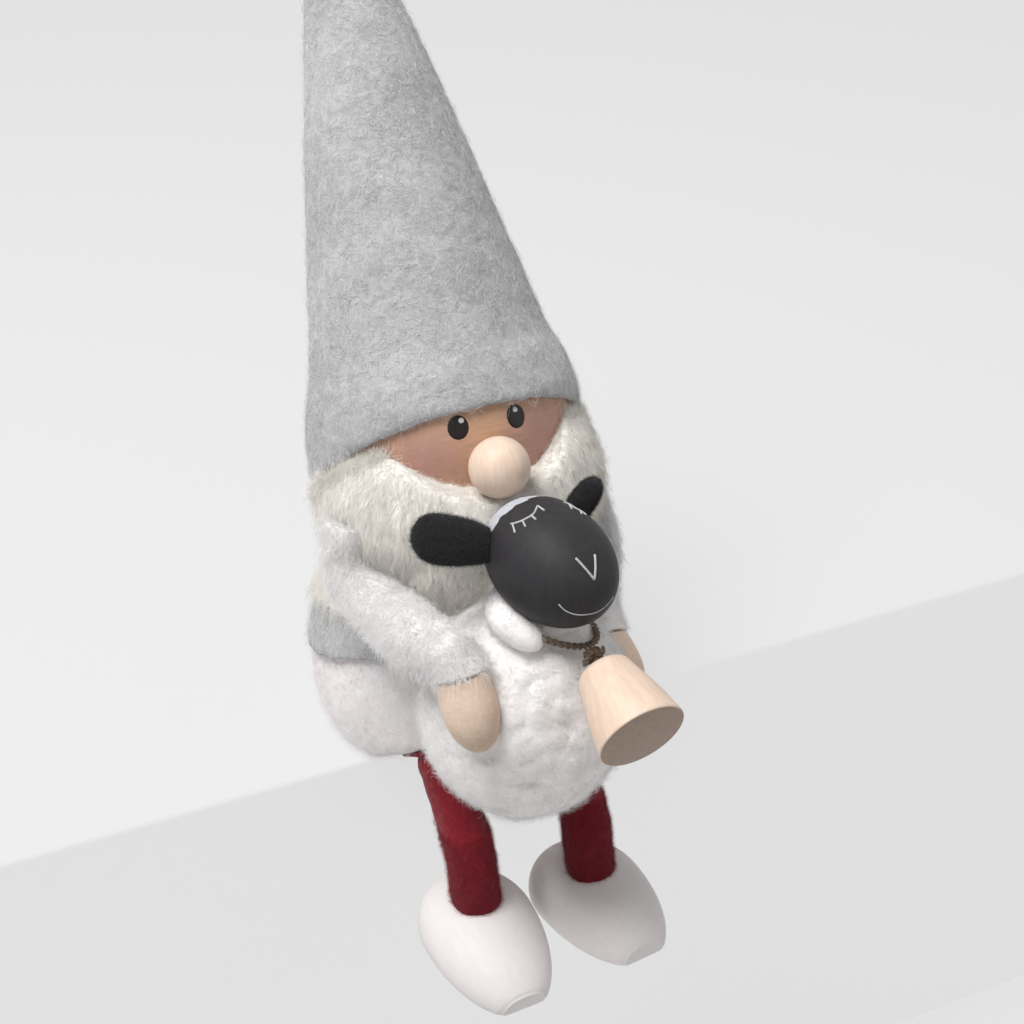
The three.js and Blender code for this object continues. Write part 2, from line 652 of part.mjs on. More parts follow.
for (const side of ['right', 'left']) {
  const arm = pivotGroup(`${side}_arm`, vector(SHOULDERS[side]));
  add(`${side}_sleeve`, cut(
    sleeveForm(side, 0), handForm(side, GAP), armWire(side, FELT, GAP)), WHITE_FLEECE, 0.95, arm);
  add(`${side}_hand`, cut(handForm(side, 0), armWire(side, 0, GAP)), PALE_WOOD, 0.55, arm);
  add(`${side}_arm_wire`, armWire(side, 0, 0), STEEL, 0.4, arm);
}

// Sheep's pieces

const sheepCore = (grow) => fleeceForm(grow - FLEECE);

add('sheep_core', cut(sheepCore(0), sheepDowel(GAP)), CORE_WOOD, 0.7);
add('sheep_neck_dowel', sheepDowel(0), CORE_WOOD, 0.7);
add('sheep_body', cut(
  fleeceForm(0), sheepCore(GAP), sheepDowel(GAP), sheepHeadForm(GAP), collarForm(GAP), tunicForm(GAP),
  handForm('right', GAP), handForm('left', GAP), sleeveForm('right', GAP), sleeveForm('left', GAP),
), WHITE_FLEECE);
add('sheep_head', cut(sheepHeadForm(0), sheepDowel(GAP)), BLACK_PAINT, 0.5);
add('twine_collar', collarForm(0), JUTE);

for (const side of ['right', 'left']) {
  const root = vector(EARS[side].root).multiply(SHEEP_HEAD_HALF).add(SHEEP_HEAD_CENTRE);
  const axis = vector(EARS[side].tip);
  const reach = axis.length() + EAR_WIDTH / 2;
  const along = axis.normalize();
  const across = new THREE.Vector3().crossVectors(along, vector(EARS[side].face)).normalize();
  const outline = eggOutline(
    reach, EAR_WIDTH / 2, reach - EAR_WIDTH / 2, EAR_ROOT_WIDTH / 2, POINT, SMALL_EGG_STEPS);
  const flatness = EAR_THICKNESS / EAR_WIDTH;
  const rings = outline.map(([distance, radius]) => ringAt(
    root.clone().addScaledVector(along, distance), along, across, radius, LIMB_SIDES, flatness));
  add(`sheep_${side}_ear`, cut(skinned(rings), sheepHeadForm(GAP)), BLACK_FELT);
}

// Knot and bell, which swing on the front of the collar

const knotReach = COLLAR_RADIUS + TWINE / 2 + GAP + KNOT_DIAMETER / 2;
const KNOT = new THREE.Vector3(Math.sin(radians(KNOT_TURN)), -Math.cos(radians(KNOT_TURN)), 0)
  .multiplyScalar(knotReach)
  .applyAxisAngle(new THREE.Vector3(1, 0, 0), radians(COLLAR_TILT))
  .applyAxisAngle(new THREE.Vector3(0, 1, 0), radians(COLLAR_LEAN))
  .add(NECK);
const BELL_AXIS = frontward(BELL_DROP, BELL_TURN);
const bellStart = KNOT.clone().addScaledVector(BELL_AXIS, KNOT_DIAMETER / 2 + GAP + BELL_TWINE);

const bellTwine = (grow) => rod(
  KNOT.clone().addScaledVector(BELL_AXIS, KNOT_DIAMETER / 2 + GAP),
  bellStart.clone().addScaledVector(BELL_AXIS, BELL_HOLE_DEPTH),
  TWINE, grow, THIN_SIDES);

// The rounded edge round the bell's top: the first half of a small ball's outline, moved outward
const topRound = eggOutline(2 * BELL_EDGE, BELL_EDGE, BELL_EDGE, POINT, POINT, BELL_EDGE_STEPS)
  .slice(0, BELL_EDGE_STEPS + 1)
  .map(([distance, radius]) => [distance, BELL_TOP_DIAMETER / 2 - BELL_EDGE + radius]);

const knotGroup = pivotGroup('knot_and_bell', KNOT);
add('twine_knot', ball(KNOT, KNOT_DIAMETER / 2, LIMB_SIDES), JUTE, 0.95, knotGroup);
add('bell_twine', bellTwine(0), JUTE, 0.95, knotGroup);
add('bell', cut(turned(bellStart, BELL_AXIS, [
  ...topRound,
  [BELL_FLARE[0] * BELL_LENGTH, lerp(BELL_TOP_DIAMETER, BELL_MOUTH_DIAMETER, BELL_FLARE[1]) / 2],
  [BELL_LENGTH - BELL_LIP, BELL_MOUTH_DIAMETER / 2],
  [BELL_LENGTH, BELL_MOUTH_DIAMETER / 2 - BELL_LIP]]), bellTwine(GAP)), PALE_WOOD, 0.55, knotGroup);

// Felt tabs that hang the legs from the underside, the legs in them, and the shoes

for (const side of ['right', 'left']) {
  const hip = legRoute(side)[0];
  const leg = pivotGroup(`${side}_leg_and_shoe`, hip);
  add(`${side}_leg`, legForm(side, 0), RED_FELT, 0.95, leg);
  add(`${side}_shoe`, cut(shoeForm(side), legForm(side, GAP)), WHITE_PAINT, 0.6, leg);

  const tabLength = (LEG_ROUTE[0][0] - TAB_START) / Math.cos(radians(FRONT_RISE));
  const tab = new THREE.BoxGeometry(TAB_WIDTH, tabLength - GAP, TAB_THICKNESS);
  tab.translate(hip.x, -(tabLength + GAP) / 2, -GAP - TAB_THICKNESS / 2);
  tab.rotateX(-radians(FRONT_RISE));
  tab.translate(0, -SEAT_FRONT - TAB_START, TAB_START * Math.tan(radians(FRONT_RISE)));
  add(`${side}_hip_tab`, cut(solidOf(tab), legSweep(side, GAP)), RED_FELT);
}

// A shoe: the upper half of an egg along its axis, its toe cut flat, on a flat sole
function shoeForm(side) {
  const { middle, drop, turn } = SHOES[side];
  const axis = frontward(drop, turn);
  const across = new THREE.Vector3(0, 0, 1).cross(axis).normalize();
  const over = axis.clone().cross(across);
  const heel = vector(middle).addScaledVector(axis, -SHOE_BACK);
  const outline = eggOutline(
    SHOE_BACK + SHOE_FRONT, SHOE_WIDTH / 2, SHOE_BACK,
    SHOE_HEEL_DIAMETER / 2, SHOE_TOE_DIAMETER / 2, SHOE_STEPS);
  const egg = skinned(outline.map(([distance, radius]) => ringAt(
    heel.clone().addScaledVector(axis, distance), axis, across, radius, SIDES, SHOE_FLATNESS)));
  const sole = vector(middle).addScaledVector(over, -SHOE_SOLE_DROP);
  return cut(egg, halfSpace(sole, over.clone().negate()));
}

export default part;
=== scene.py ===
"""Looks of a seated gnome that hugs a toy sheep: felt, fur, fleece, turned wood and twine.

Laid out as a Blender add-on, in metres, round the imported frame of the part.
"""

import json
import math

import bpy
import numpy as np
from bpy.props import FloatProperty, FloatVectorProperty, IntProperty, PointerProperty
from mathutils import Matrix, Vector
from mathutils.bvhtree import BVHTree
from mathutils.kdtree import KDTree


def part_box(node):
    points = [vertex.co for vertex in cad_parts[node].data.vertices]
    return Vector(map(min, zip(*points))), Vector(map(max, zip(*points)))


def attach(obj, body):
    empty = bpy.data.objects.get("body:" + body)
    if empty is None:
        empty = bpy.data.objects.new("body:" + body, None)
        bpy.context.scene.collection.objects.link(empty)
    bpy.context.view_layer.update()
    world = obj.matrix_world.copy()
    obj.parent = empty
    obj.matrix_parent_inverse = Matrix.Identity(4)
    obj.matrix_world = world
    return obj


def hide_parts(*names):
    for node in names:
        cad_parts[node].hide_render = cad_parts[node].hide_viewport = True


bl_info = {
    "name": "Seated Gnome with Sheep",
    "version": (1, 0, 0),
    "blender": (4, 5, 0),
    "location": "3D View > Sidebar > Gnome",
    "description": "Dresses a seated gnome figurine in felt, fur, fleece, turned wood and twine",
    "category": "Add Mesh",
}

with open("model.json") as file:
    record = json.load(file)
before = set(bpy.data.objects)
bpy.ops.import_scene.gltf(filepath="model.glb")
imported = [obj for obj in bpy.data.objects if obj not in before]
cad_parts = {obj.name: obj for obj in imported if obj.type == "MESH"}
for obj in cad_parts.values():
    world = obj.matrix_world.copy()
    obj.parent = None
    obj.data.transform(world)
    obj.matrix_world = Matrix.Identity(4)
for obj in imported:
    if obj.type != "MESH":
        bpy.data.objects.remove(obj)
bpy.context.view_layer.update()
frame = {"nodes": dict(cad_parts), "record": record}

MM = 0.001
UP = np.array([0.0, 0.0, 1.0])
DOWN = -UP

# How the torso leans back, and how the head, the sheep's head and the shoes are turned, in degrees
LEAN = 7
HEAD_TURN = -3
SHEEP_HEAD = {"drop": 3, "turn": 8}
SHOES = {"right": {"drop": 11.5, "turn": 2.7}, "left": {"drop": 2.8, "turn": 6.6}}
SHOE_FLATNESS = 0.72
BELL = {"drop": 20, "turn": 3}

# The photograph's camera, and the edge of the step that the gnome sits on
CAMERA = {"place": (-0.1171, -0.2793, 0.2275), "turn": -25, "elevation": 31, "lens": 63.28}
STEP_EDGE = -11 * MM

# The pale backdrop, and how much of the ground's look is its plain colour
BACKDROP = (0.81, 0.81, 0.81, 1)
GROUND_GLOW = 0.8

# The gnome's eyes on the head's ball, in degrees beside and above the way that it faces
EYE_TURNS = {"right": -12.6, "left": 15.2}
EYE_RISE = 17.2
EYE_SIZE = (4.2 * MM, 4.8 * MM)
GLINT_SIZE = 1.15 * MM
GLINT_RISE = 1.2 * MM
GLINT_TURNS = {"right": 1.6, "left": 0.2}

# How near to the hat the beard's hairs rise to meet it, and how far down a sleeve the beard's hairs reach
RIM = 3 * MM
SHOULDER_HAIR = 13 * MM

# The room that a fibre's root needs before the next solid, and in the tight places round the beard
ROOM = 0.8 * MM
TIGHT_ROOM = 0.3 * MM

# A hand's tenon in the cuff, as long as it is wide from its middle
TENON = 3 * MM

# How far below its hip a leg has no loose fibres, so that it can swing inside the seat
HIP_BARE = 8 * MM

# The roll of fleece over the sheep's collar, in degrees from its left side round its back to its front
COLLAR_COVER = (50, 232)
COLLAR_ROLL = 2.9 * MM

# Marks painted on the sheep's head, as [turn to its left, rise] in degrees from the head's middle
SHEEP_EYES = [
    [(-119, 48), (-113, 56), (-112, 65), (-121, 72), (-162, 72)],
    [(124, 62), (114, 60), (97, 61), (87, 56), (78, 53)],
]
SHEEP_LASHES = [
    [(-116, 50), (-99, 48)], [(-111, 60), (-93, 59)], [(-117, 69), (-91, 71)], [(-162, 72), (-134, 82)],
    [(114, 60), (88, 68)], [(88, 57), (73, 60)],
]
SHEEP_NOSE = [[(-11, 36), (-1, 18)], [(9, 34), (-1, 18)]]
SHEEP_SMILE = [(-28, 2), (-23, -3), (-16, -6), (-8, -7), (0, -7), (8, -5), (16, -2)]


# Vectors and places

def unit(vectors):
    """Vectors at length one."""
    return vectors / np.linalg.norm(vectors, axis=-1, keepdims=True)


def facing(drop, turn):
    """A direction out of the front that slopes down by drop and turns to the left side, in degrees."""
    drop, turn = np.radians((drop, turn))
    return np.array([np.cos(drop) * np.sin(turn), -np.cos(drop) * np.cos(turn), -np.sin(drop)])


def aimed(forward, turn, rise):
    """The direction at a turn and a rise, in degrees, from a forward direction."""
    left = unit(np.cross(UP, forward))
    over = np.cross(forward, left)
    turn, rise = np.radians((turn, rise))
    return np.cos(rise) * (np.cos(turn) * forward + np.sin(turn) * left) + np.sin(rise) * over


def mesh_arrays(mesh):
    """A mesh's points and faces, as an array and a list."""
    points = np.empty(3 * len(mesh.vertices))
    mesh.vertices.foreach_get("co", points)
    return points.reshape(-1, 3), [list(face.vertices) for face in mesh.polygons]


def corners(node):
    """A CAD node's corners at rest."""
    return mesh_arrays(frame["nodes"][node].data)[0]


def middle(node):
    """The middle of a CAD node's box."""
    low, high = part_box(node)
    return (np.array(low) + np.array(high)) / 2


def joint_place(name):
    """Where a joint of the frame turns."""
    joint = next(joint for joint in frame["record"]["behaviour"]["joints"] if joint["name"] == name)
    return np.array(joint["pos_m"])


def along_axis(node, axis):
    """A turned node's end on its axis, its length, and each corner's [distance from the end, radius]."""
    points = corners(node)
    distance = points @ axis
    end = points[distance > distance.max() - 0.02 * MM].mean(axis=0)
    offset = points - end
    back = offset @ axis
    radius = np.linalg.norm(offset - back[:, None] * axis, axis=1)
    return end, distance.max() - distance.min(), -back, radius


def collar_ring():
    """The middle, normal and radius of the ring that the collar's twine lies on."""
    points = corners("twine_collar")
    centre = points.mean(axis=0)
    return centre, np.linalg.svd(points - centre)[2][2], np.linalg.norm(points - centre, axis=1).mean()


def solids(names):
    """CAD nodes at rest as one tree that rays can be cast at."""
    points, faces = merged(*(mesh_arrays(frame["nodes"][name].data) for name in names))
    return BVHTree.FromPolygons(points.tolist(), faces)


def others(*own):
    """A tree of every CAD node apart from those named."""
    return solids(name for name in frame["nodes"] if name not in own)


def free_way(tree, points, directions, most):
    """How far each point can go in its direction, up to its most, before it meets a tree of solids."""
    reach = np.array(most, dtype=float)
    for i, (point, direction) in enumerate(zip(points, directions)):
        distance = tree.ray_cast(Vector(point), Vector(direction), reach[i])[3]
        if distance is not None:
            reach[i] = distance
    return reach


# Meshes

def piece(name, points, faces, material, body, slot, replaced=()):
    """A shown mesh that rides on a body, takes its finish from a material and stands for CAD nodes; its slot is not
    used.
    """
    mesh = bpy.data.meshes.new(name)
    mesh.from_pydata(points, [], faces, shade_flat=False)
    mesh.update()
    made = bpy.data.objects.new(name, mesh)
    bpy.context.scene.collection.objects.link(made)
    mesh.materials.append(material)
    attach(made, body)
    if replaced:
        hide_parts(*replaced)
    return made


def fine_skin(node, voxel, smoothing, lumps=()):
    """A CAD node's shape as a fine even mesh, smoothed, and swollen by lumps of a given size and height."""
    made = bpy.data.objects.new("skin", frame["nodes"][node].data.copy())
    bpy.context.scene.collection.objects.link(made)
    remesh = made.modifiers.new("even", "REMESH")
    remesh.mode = "VOXEL"
    remesh.voxel_size = voxel
    smooth = made.modifiers.new("smooth", "SMOOTH")
    smooth.factor = 0.5
    smooth.iterations = smoothing
    for size, height in lumps:
        texture = bpy.data.textures.new("lumps", "CLOUDS")
        texture.noise_scale = size
        texture.noise_depth = 2
        displace = made.modifiers.new("lumps", "DISPLACE")
        displace.texture = texture
        displace.texture_coords = "LOCAL"
        displace.mid_level = 0.5
        displace.strength = 2 * height
    graph = bpy.context.evaluated_depsgraph_get()
    mesh = bpy.data.meshes.new_from_object(made.evaluated_get(graph))
    bpy.data.objects.remove(made)
    return mesh_arrays(mesh)


def turned(end, axis, outline, sides=96):
    """Points and faces of a turned solid, from [distance, radius] points along an axis from a start."""
    across = unit(np.cross(axis, UP if abs(axis[2]) < 0.9 else np.array([1.0, 0.0, 0.0])))
    third = np.cross(axis, across)
    angles = 2 * np.pi * np.arange(sides) / sides
    ring = np.cos(angles)[:, None] * across + np.sin(angles)[:, None] * third
    return lofted([end + distance * axis + radius * ring for distance, radius in outline])


def egg_outline(length, radius, widest, start_radius, end_radius, steps=40):
    """An egg's [distance, radius] points between a facet at each end, widest at a distance from its start."""
    first, last = math.asin(start_radius / radius), math.asin(end_radius / radius)
    rise = np.linspace(first, np.pi / 2, steps)
    fall = np.linspace(np.pi / 2, last, steps)[1:]
    front = widest - widest / math.cos(first) * np.cos(rise)
    back = widest + (length - widest) / math.cos(last) * np.cos(fall)
    return np.column_stack([np.concatenate([front, back]), radius * np.sin(np.concatenate([rise, fall]))])


def lofted(rings):
    """Points and faces of a closed solid through rings of the same count of points."""
    rings = np.array(rings)
    points = rings.reshape(-1, 3)
    index = np.arange(len(points)).reshape(rings.shape[:2])
    after = np.roll(index, -1, axis=1)
    quads = np.stack([index[:-1], after[:-1], after[1:], index[1:]], axis=-1).reshape(-1, 4).tolist()
    return points, quads + [index[0][::-1].tolist(), index[-1].tolist()]


def outward(points, faces):
    """The normal of a skin at each of its points."""
    quads = np.array([[*face, face[-1]][:4] for face in faces if len(face) < 5])
    across = np.cross(points[quads[:, 2]] - points[quads[:, 0]], points[quads[:, 3]] - points[quads[:, 1]])
    normals = np.zeros_like(points)
    for k in range(4):
        np.add.at(normals, quads[:, k], across)
    return unit(normals + 1e-12)


def only(skin, wanted):
    """The part of a skin whose faces start at a wanted point."""
    points, faces = skin
    return points, [face for face in faces if wanted(points[face[0]])]


def swollen(skin, height):
    """A skin grown outward by a height all over."""
    points, faces = skin
    return points + height * outward(points, faces), faces


def puffed(skin, spacing, height, seed):
    """A skin swollen into soft round puffs about a spacing apart, with seams between them."""
    points, faces = skin
    random = np.random.default_rng(seed)
    centres = points[:1]
    for candidate in points[random.permutation(len(points))[:8000]]:
        if ((centres - candidate) ** 2).sum(axis=1).min() > (0.8 * spacing) ** 2:
            centres = np.vstack([centres, candidate])
    tree = KDTree(len(centres))
    for key, centre in enumerate(centres):
        tree.insert(centre, key)
    tree.balance()
    reach = 0.8 * spacing * random.uniform(0.75, 1.25, len(centres))
    share = np.array([min(distance / reach[key] for _, key, distance in tree.find_n(point, 3)) for point in points])
    dome = np.sqrt(np.clip(1 - share ** 2, 0, 1)) - 0.6
    return points + height * dome[:, None] * outward(points, faces), faces


def tubes(paths, radii, sides=3):
    """Points and faces of one closed tube along each of many paths of the same count of points."""
    along = unit(np.gradient(paths, axis=1))
    spread = unit(paths[:, -1] - paths[:, 0] + 1e-9)
    helper = np.where(np.abs(spread[:, 2:]) < 0.8, UP, np.array([1.0, 0.0, 0.0]))
    across = unit(np.cross(along, helper[:, None, :]))
    third = np.cross(along, across)
    angles = 2 * np.pi * np.arange(sides) / sides
    ring = (np.cos(angles)[:, None] * across[:, :, None] + np.sin(angles)[:, None] * third[:, :, None])
    points = (paths[:, :, None] + radii[:, :, None, None] * ring).reshape(-1, 3)
    index = np.arange(len(points)).reshape(*paths.shape[:2], sides)
    after = np.roll(index, -1, axis=2)
    quads = np.stack([index[:, :-1], after[:, :-1], after[:, 1:], index[:, 1:]], axis=-1).reshape(-1, 4)
    caps = np.concatenate([index[:, 0, ::-1], index[:, -1]])
    return points, quads.tolist() + caps.tolist()


def merged(*meshes):
    """Several points and faces pairs as one."""
    points, faces, count = [], [], 0
    for some, their_faces in meshes:
        points.append(some)
        faces += [[v + count for v in face] for face in their_faces]
        count += len(some)
    return np.concatenate(points), faces


def roots(skin, tree, count, seed, room):
    """Random points on a skin that have room before a tree of solids, with their normals."""
    points, faces = skin
    random = np.random.default_rng(seed)
    small = [face for face in faces if len(face) < 5]
    triangles = np.array([tri for face in small for tri in ([face[:3], [face[0], *face[2:]]][:len(face) - 2])])
    a, b, c = (points[triangles[:, k]] for k in range(3))
    normals = np.cross(b - a, c - a)
    areas = np.linalg.norm(normals, axis=1)
    chosen = random.choice(len(triangles), count, p=areas / areas.sum())
    u, v = random.random((2, count, 1))
    over = u + v > 1
    u, v = np.where(over, 1 - u, u), np.where(over, 1 - v, v)
    places = a[chosen] + u * (b - a)[chosen] + v * (c - a)[chosen]
    normals = unit(normals[chosen])
    free = free_way(tree, places, normals, np.full(count, room)) > 0.99 * room
    return places[free], normals[free], random


def pile(skin, tree, count, seed, length, thickness, stand=0.35, comb=0.0, curl=0.6, steps=5, room=ROOM):
    """Fibres on a skin: how upright they stand, how far they are combed down and how much they curl."""
    places, normals, random = roots(skin, tree, count, seed, room)
    total = len(places)
    flat = random.normal(size=(total, 3)) + comb * DOWN
    flat = unit(flat - (flat * normals).sum(axis=1, keepdims=True) * normals)
    head = unit(flat + stand * random.uniform(0.3, 1.7, (total, 1)) * normals)
    lengths = length * random.uniform(0.4, 1.3, total)
    lengths = np.minimum(lengths, 0.9 * free_way(tree, places, head, lengths))
    bend = np.cross(normals, flat) * random.normal(scale=curl, size=(total, 1))
    bend = bend + 0.25 * comb * DOWN - stand * 0.6 * random.random((total, 1)) * normals
    share = np.linspace(0, 1, steps)[None, :, None]
    paths = places[:, None, :] + lengths[:, None, None] * (share * head[:, None] + 0.6 * share ** 2 * bend[:, None])
    radii = thickness / 2 * np.linspace(1, 0.4, steps)[None, :].repeat(total, axis=0)
    return tubes(paths, radii)


def curls(skin, tree, count, seed, radius, thickness, steps=12):
    """Small open loops of yarn that stand out of a fleece."""
    places, normals, random = roots(skin, tree, count, seed, 3 * MM)
    total = len(places)
    across = random.normal(size=(total, 3))
    across = unit(across - (across * normals).sum(axis=1, keepdims=True) * normals)
    tilt = random.uniform(0.2, 0.9, (total, 1))
    third = unit(np.cross(normals, across) * tilt + normals * (1 - tilt))
    sizes = (radius * random.uniform(0.5, 1.3, (total, 1)))[:, :, None]
    angle = np.linspace(0, 1, steps)[None, :, None] * random.uniform(4, 8, (total, 1, 1))
    paths = (places + 0.3 * radius * normals)[:, None, :] + sizes * (
        np.sin(angle) * across[:, None, :] + (1 - np.cos(angle)) * 0.7 * third[:, None, :])
    return tubes(paths, np.full((total, steps), thickness / 2))


def through(points, count):
    """A smooth path of a count of points through a few points."""
    points = np.array(points, dtype=float)
    padded = np.concatenate([[2 * points[0] - points[1]], points, [2 * points[-1] - points[-2]]])
    at = np.linspace(0, len(points) - 1 - 1e-9, count)
    k = at.astype(int)
    t = (at - k)[:, None]
    p0, p1, p2, p3 = (padded[k + i] for i in range(4))
    return 0.5 * (2 * p1 + (p2 - p0) * t + (2 * p0 - 5 * p1 + 4 * p2 - p3) * t ** 2
                  + (3 * p1 - p0 - 3 * p2 + p3) * t ** 3)


def plied(path, radius, pitch, plies=2, sides=8):
    """Points and faces of a twine whose plies wind round one another along a path."""
    along = unit(np.gradient(path, axis=0))
    across = unit(np.cross(along, UP + 0.01))
    third = np.cross(along, across)
    run = np.concatenate([[0], np.cumsum(np.linalg.norm(np.diff(path, axis=0), axis=1))])
    made = []
    for ply in range(plies):
        angle = (2 * np.pi * (run / pitch + ply / plies))[:, None]
        strand = path + radius / 2 * (np.cos(angle) * across + np.sin(angle) * third)
        made.append(tubes(strand[None], np.full((1, len(path)), 0.62 * radius), sides))
    return merged(*made)


def patch(surface, centre, direction, width, height, proud, rings=8, sides=40):
    """A thin oval laid on a ball or an egg round a centre, standing proud of it."""
    left = unit(np.cross(UP, direction))
    over = np.cross(direction, left)
    angles = 2 * np.pi * np.arange(sides) / sides
    points = []
    for k, share in enumerate(np.linspace(0, 1, rings)):
        rise = proud * (1 - share ** 6) - (0.1 * MM if k == rings - 1 else 0)
        for angle in angles:
            aim = direction * surface(direction) + share * (
                width / 2 * math.cos(angle) * left + height / 2 * math.sin(angle) * over)
            aim = aim / np.linalg.norm(aim)
            points.append(centre + aim * (surface(aim) + rise))
    index = np.arange(len(points)).reshape(rings, sides)
    after = np.roll(index, -1, axis=1)
    quads = np.stack([index[:-1], after[:-1], after[1:], index[1:]], axis=-1)[:, :, ::-1].reshape(-1, 4)
    return np.array(points), quads.tolist()


# Materials

class Wiring:
    """A node tree with a short way to add a node and wire it."""

    def __init__(self, tree):
        self.tree = tree

    def node(self, kind, inputs=None, **settings):
        made = self.tree.nodes.new("ShaderNode" + kind)
        for key, value in settings.items():
            setattr(made, key, value)
        for key, value in (inputs or {}).items():
            if isinstance(value, bpy.types.NodeSocket):
                self.tree.links.new(value, made.inputs[key])
            else:
                made.inputs[key].default_value = value
        return made

    def math(self, operation, first, second):
        return self.node("Math", {0: first, 1: second}, operation=operation).outputs[0]

    def total(self, *parts):
        """The sum of values, each times a factor."""
        values = [self.math("MULTIPLY", value, factor) for value, factor in parts]
        while len(values) > 1:
            values = [self.math("ADD", values[0], values[1]), *values[2:]]
        return values[0]

    def depth(self, place, axis):
        """How far a place is along an axis."""
        return self.node("VectorMath", {0: place, 1: tuple(axis)}, operation="DOT_PRODUCT").outputs["Value"]

    def away(self, place, spot):
        """How far a place is from a spot."""
        return self.node("VectorMath", {0: place, 1: tuple(spot)}, operation="DISTANCE").outputs["Value"]

    def noise(self, vector, scale, detail=3.0, distortion=0.0):
        return self.node("TexNoise", {
            "Vector": vector, "Scale": scale, "Detail": detail, "Distortion": distortion}).outputs["Fac"]

    def ramp(self, value, low, high):
        return self.node("MapRange", {0: value, 1: low, 2: high}).outputs[0]

    def blend(self, factor, first, second):
        return self.node("Mix", {0: factor, 6: first, 7: second}, data_type="RGBA").outputs[2]

    def stretched(self, vector, scale, turn=(0, 0, 0)):
        return self.node("Mapping", {"Vector": vector, "Scale": scale, "Rotation": turn}).outputs[0]

    def seen(self):
        """One where a ray comes from the camera, a reflection or a clear piece, and else nought."""
        rays = self.node("LightPath").outputs
        indirect = self.math("MAXIMUM", rays["Is Glossy Ray"], rays["Is Transmission Ray"])
        return self.math("MAXIMUM", rays["Is Camera Ray"], indirect)


def effect(name, build):
    """A shader node group, made once, that puts out a colour between a dark and a light one, and a height."""
    tree = bpy.data.node_groups.get(name)
    if tree:
        return tree
    tree = bpy.data.node_groups.new(name, "ShaderNodeTree")
    for label, way, kind in (
            ("Vector", "INPUT", "Vector"), ("Dark", "INPUT", "Color"), ("Light", "INPUT", "Color"),
            ("Scale", "INPUT", "Float"), ("Color", "OUTPUT", "Color"), ("Height", "OUTPUT", "Float")):
        tree.interface.new_socket(label, in_out=way, socket_type="NodeSocket" + kind)
    source = tree.nodes.new("NodeGroupInput").outputs
    sink = tree.nodes.new("NodeGroupOutput").inputs
    w = Wiring(tree)
    point = w.node("VectorMath", {0: source["Vector"], "Scale": source["Scale"]}, operation="SCALE").outputs[0]
    mask, height = build(w, point)
    tree.links.new(w.blend(mask, source["Dark"], source["Light"]), sink["Color"])
    tree.links.new(height, sink["Height"])
    return tree


def felt_effect():
    """Felt: soft clouds, tufts of a few millimetres and fine wriggling fibres."""
    def build(w, point):
        clouds = w.ramp(w.noise(point, 70, 3), 0.3, 0.7)
        tufts = w.ramp(w.noise(point, 420, 4, 1.2), 0.3, 0.7)
        fibres = w.ramp(w.noise(point, 1500, 3, 3.5), 0.32, 0.68)
        return w.total((clouds, 0.26), (tufts, 0.34), (fibres, 0.4)), w.total((tufts, 0.6), (fibres, 0.4))
    return effect("felt", build)


def fur_effect():
    """Combed fur: soft streaks down its length, finer hairs in them and wide clouds."""
    def build(w, point):
        streaks = w.ramp(w.noise(w.stretched(point, (1, 1, 0.16)), 620, 3, 0.5), 0.3, 0.7)
        hairs = w.ramp(w.noise(w.stretched(point, (1, 1, 0.1)), 2200, 2, 0.8), 0.3, 0.7)
        clouds = w.ramp(w.noise(point, 90, 3), 0.3, 0.7)
        return w.total((streaks, 0.35), (hairs, 0.3), (clouds, 0.35)), w.total((streaks, 0.5), (hairs, 0.5))
    return effect("combed fur", build)


def fleece_effect():
    """Fleece: wide soft hollows and small curled tufts."""
    def build(w, point):
        hollows = w.ramp(w.noise(point, 160, 4, 0.6), 0.3, 0.62)
        tufts = w.ramp(w.noise(point, 900, 4, 2.5), 0.25, 0.7)
        return w.total((hollows, 0.6), (tufts, 0.4)), w.total((hollows, 0.5), (tufts, 0.5))
    return effect("fleece", build)


def grain_effect():
    """Turned wood, its grain along the vector's Z: streaks, wider bands and pores."""
    def build(w, point):
        streaks = w.ramp(w.noise(w.stretched(point, (1, 1, 0.09)), 1300, 4, 0.3), 0.3, 0.7)
        bands = w.ramp(w.noise(w.stretched(point, (1, 1, 0.12)), 230, 3, 0.8), 0.3, 0.7)
        pores = w.ramp(w.noise(w.stretched(point, (1, 1, 0.05)), 3000, 2), 0.62, 0.75)
        mask = w.total((streaks, 0.5), (bands, 0.5), (pores, -0.35))
        return mask, mask
    return effect("wood grain", build)


def paint_effect():
    """Brushed paint: faint strokes along the vector's Z and a fine dusty speckle."""
    def build(w, point):
        strokes = w.ramp(w.noise(w.stretched(point, (1, 1, 0.1)), 700, 4, 0.4), 0.25, 0.75)
        speckle = w.ramp(w.noise(point, 3200, 3), 0.3, 0.7)
        mask = w.total((strokes, 0.65), (speckle, 0.35))
        return mask, mask
    return effect("brushed paint", build)


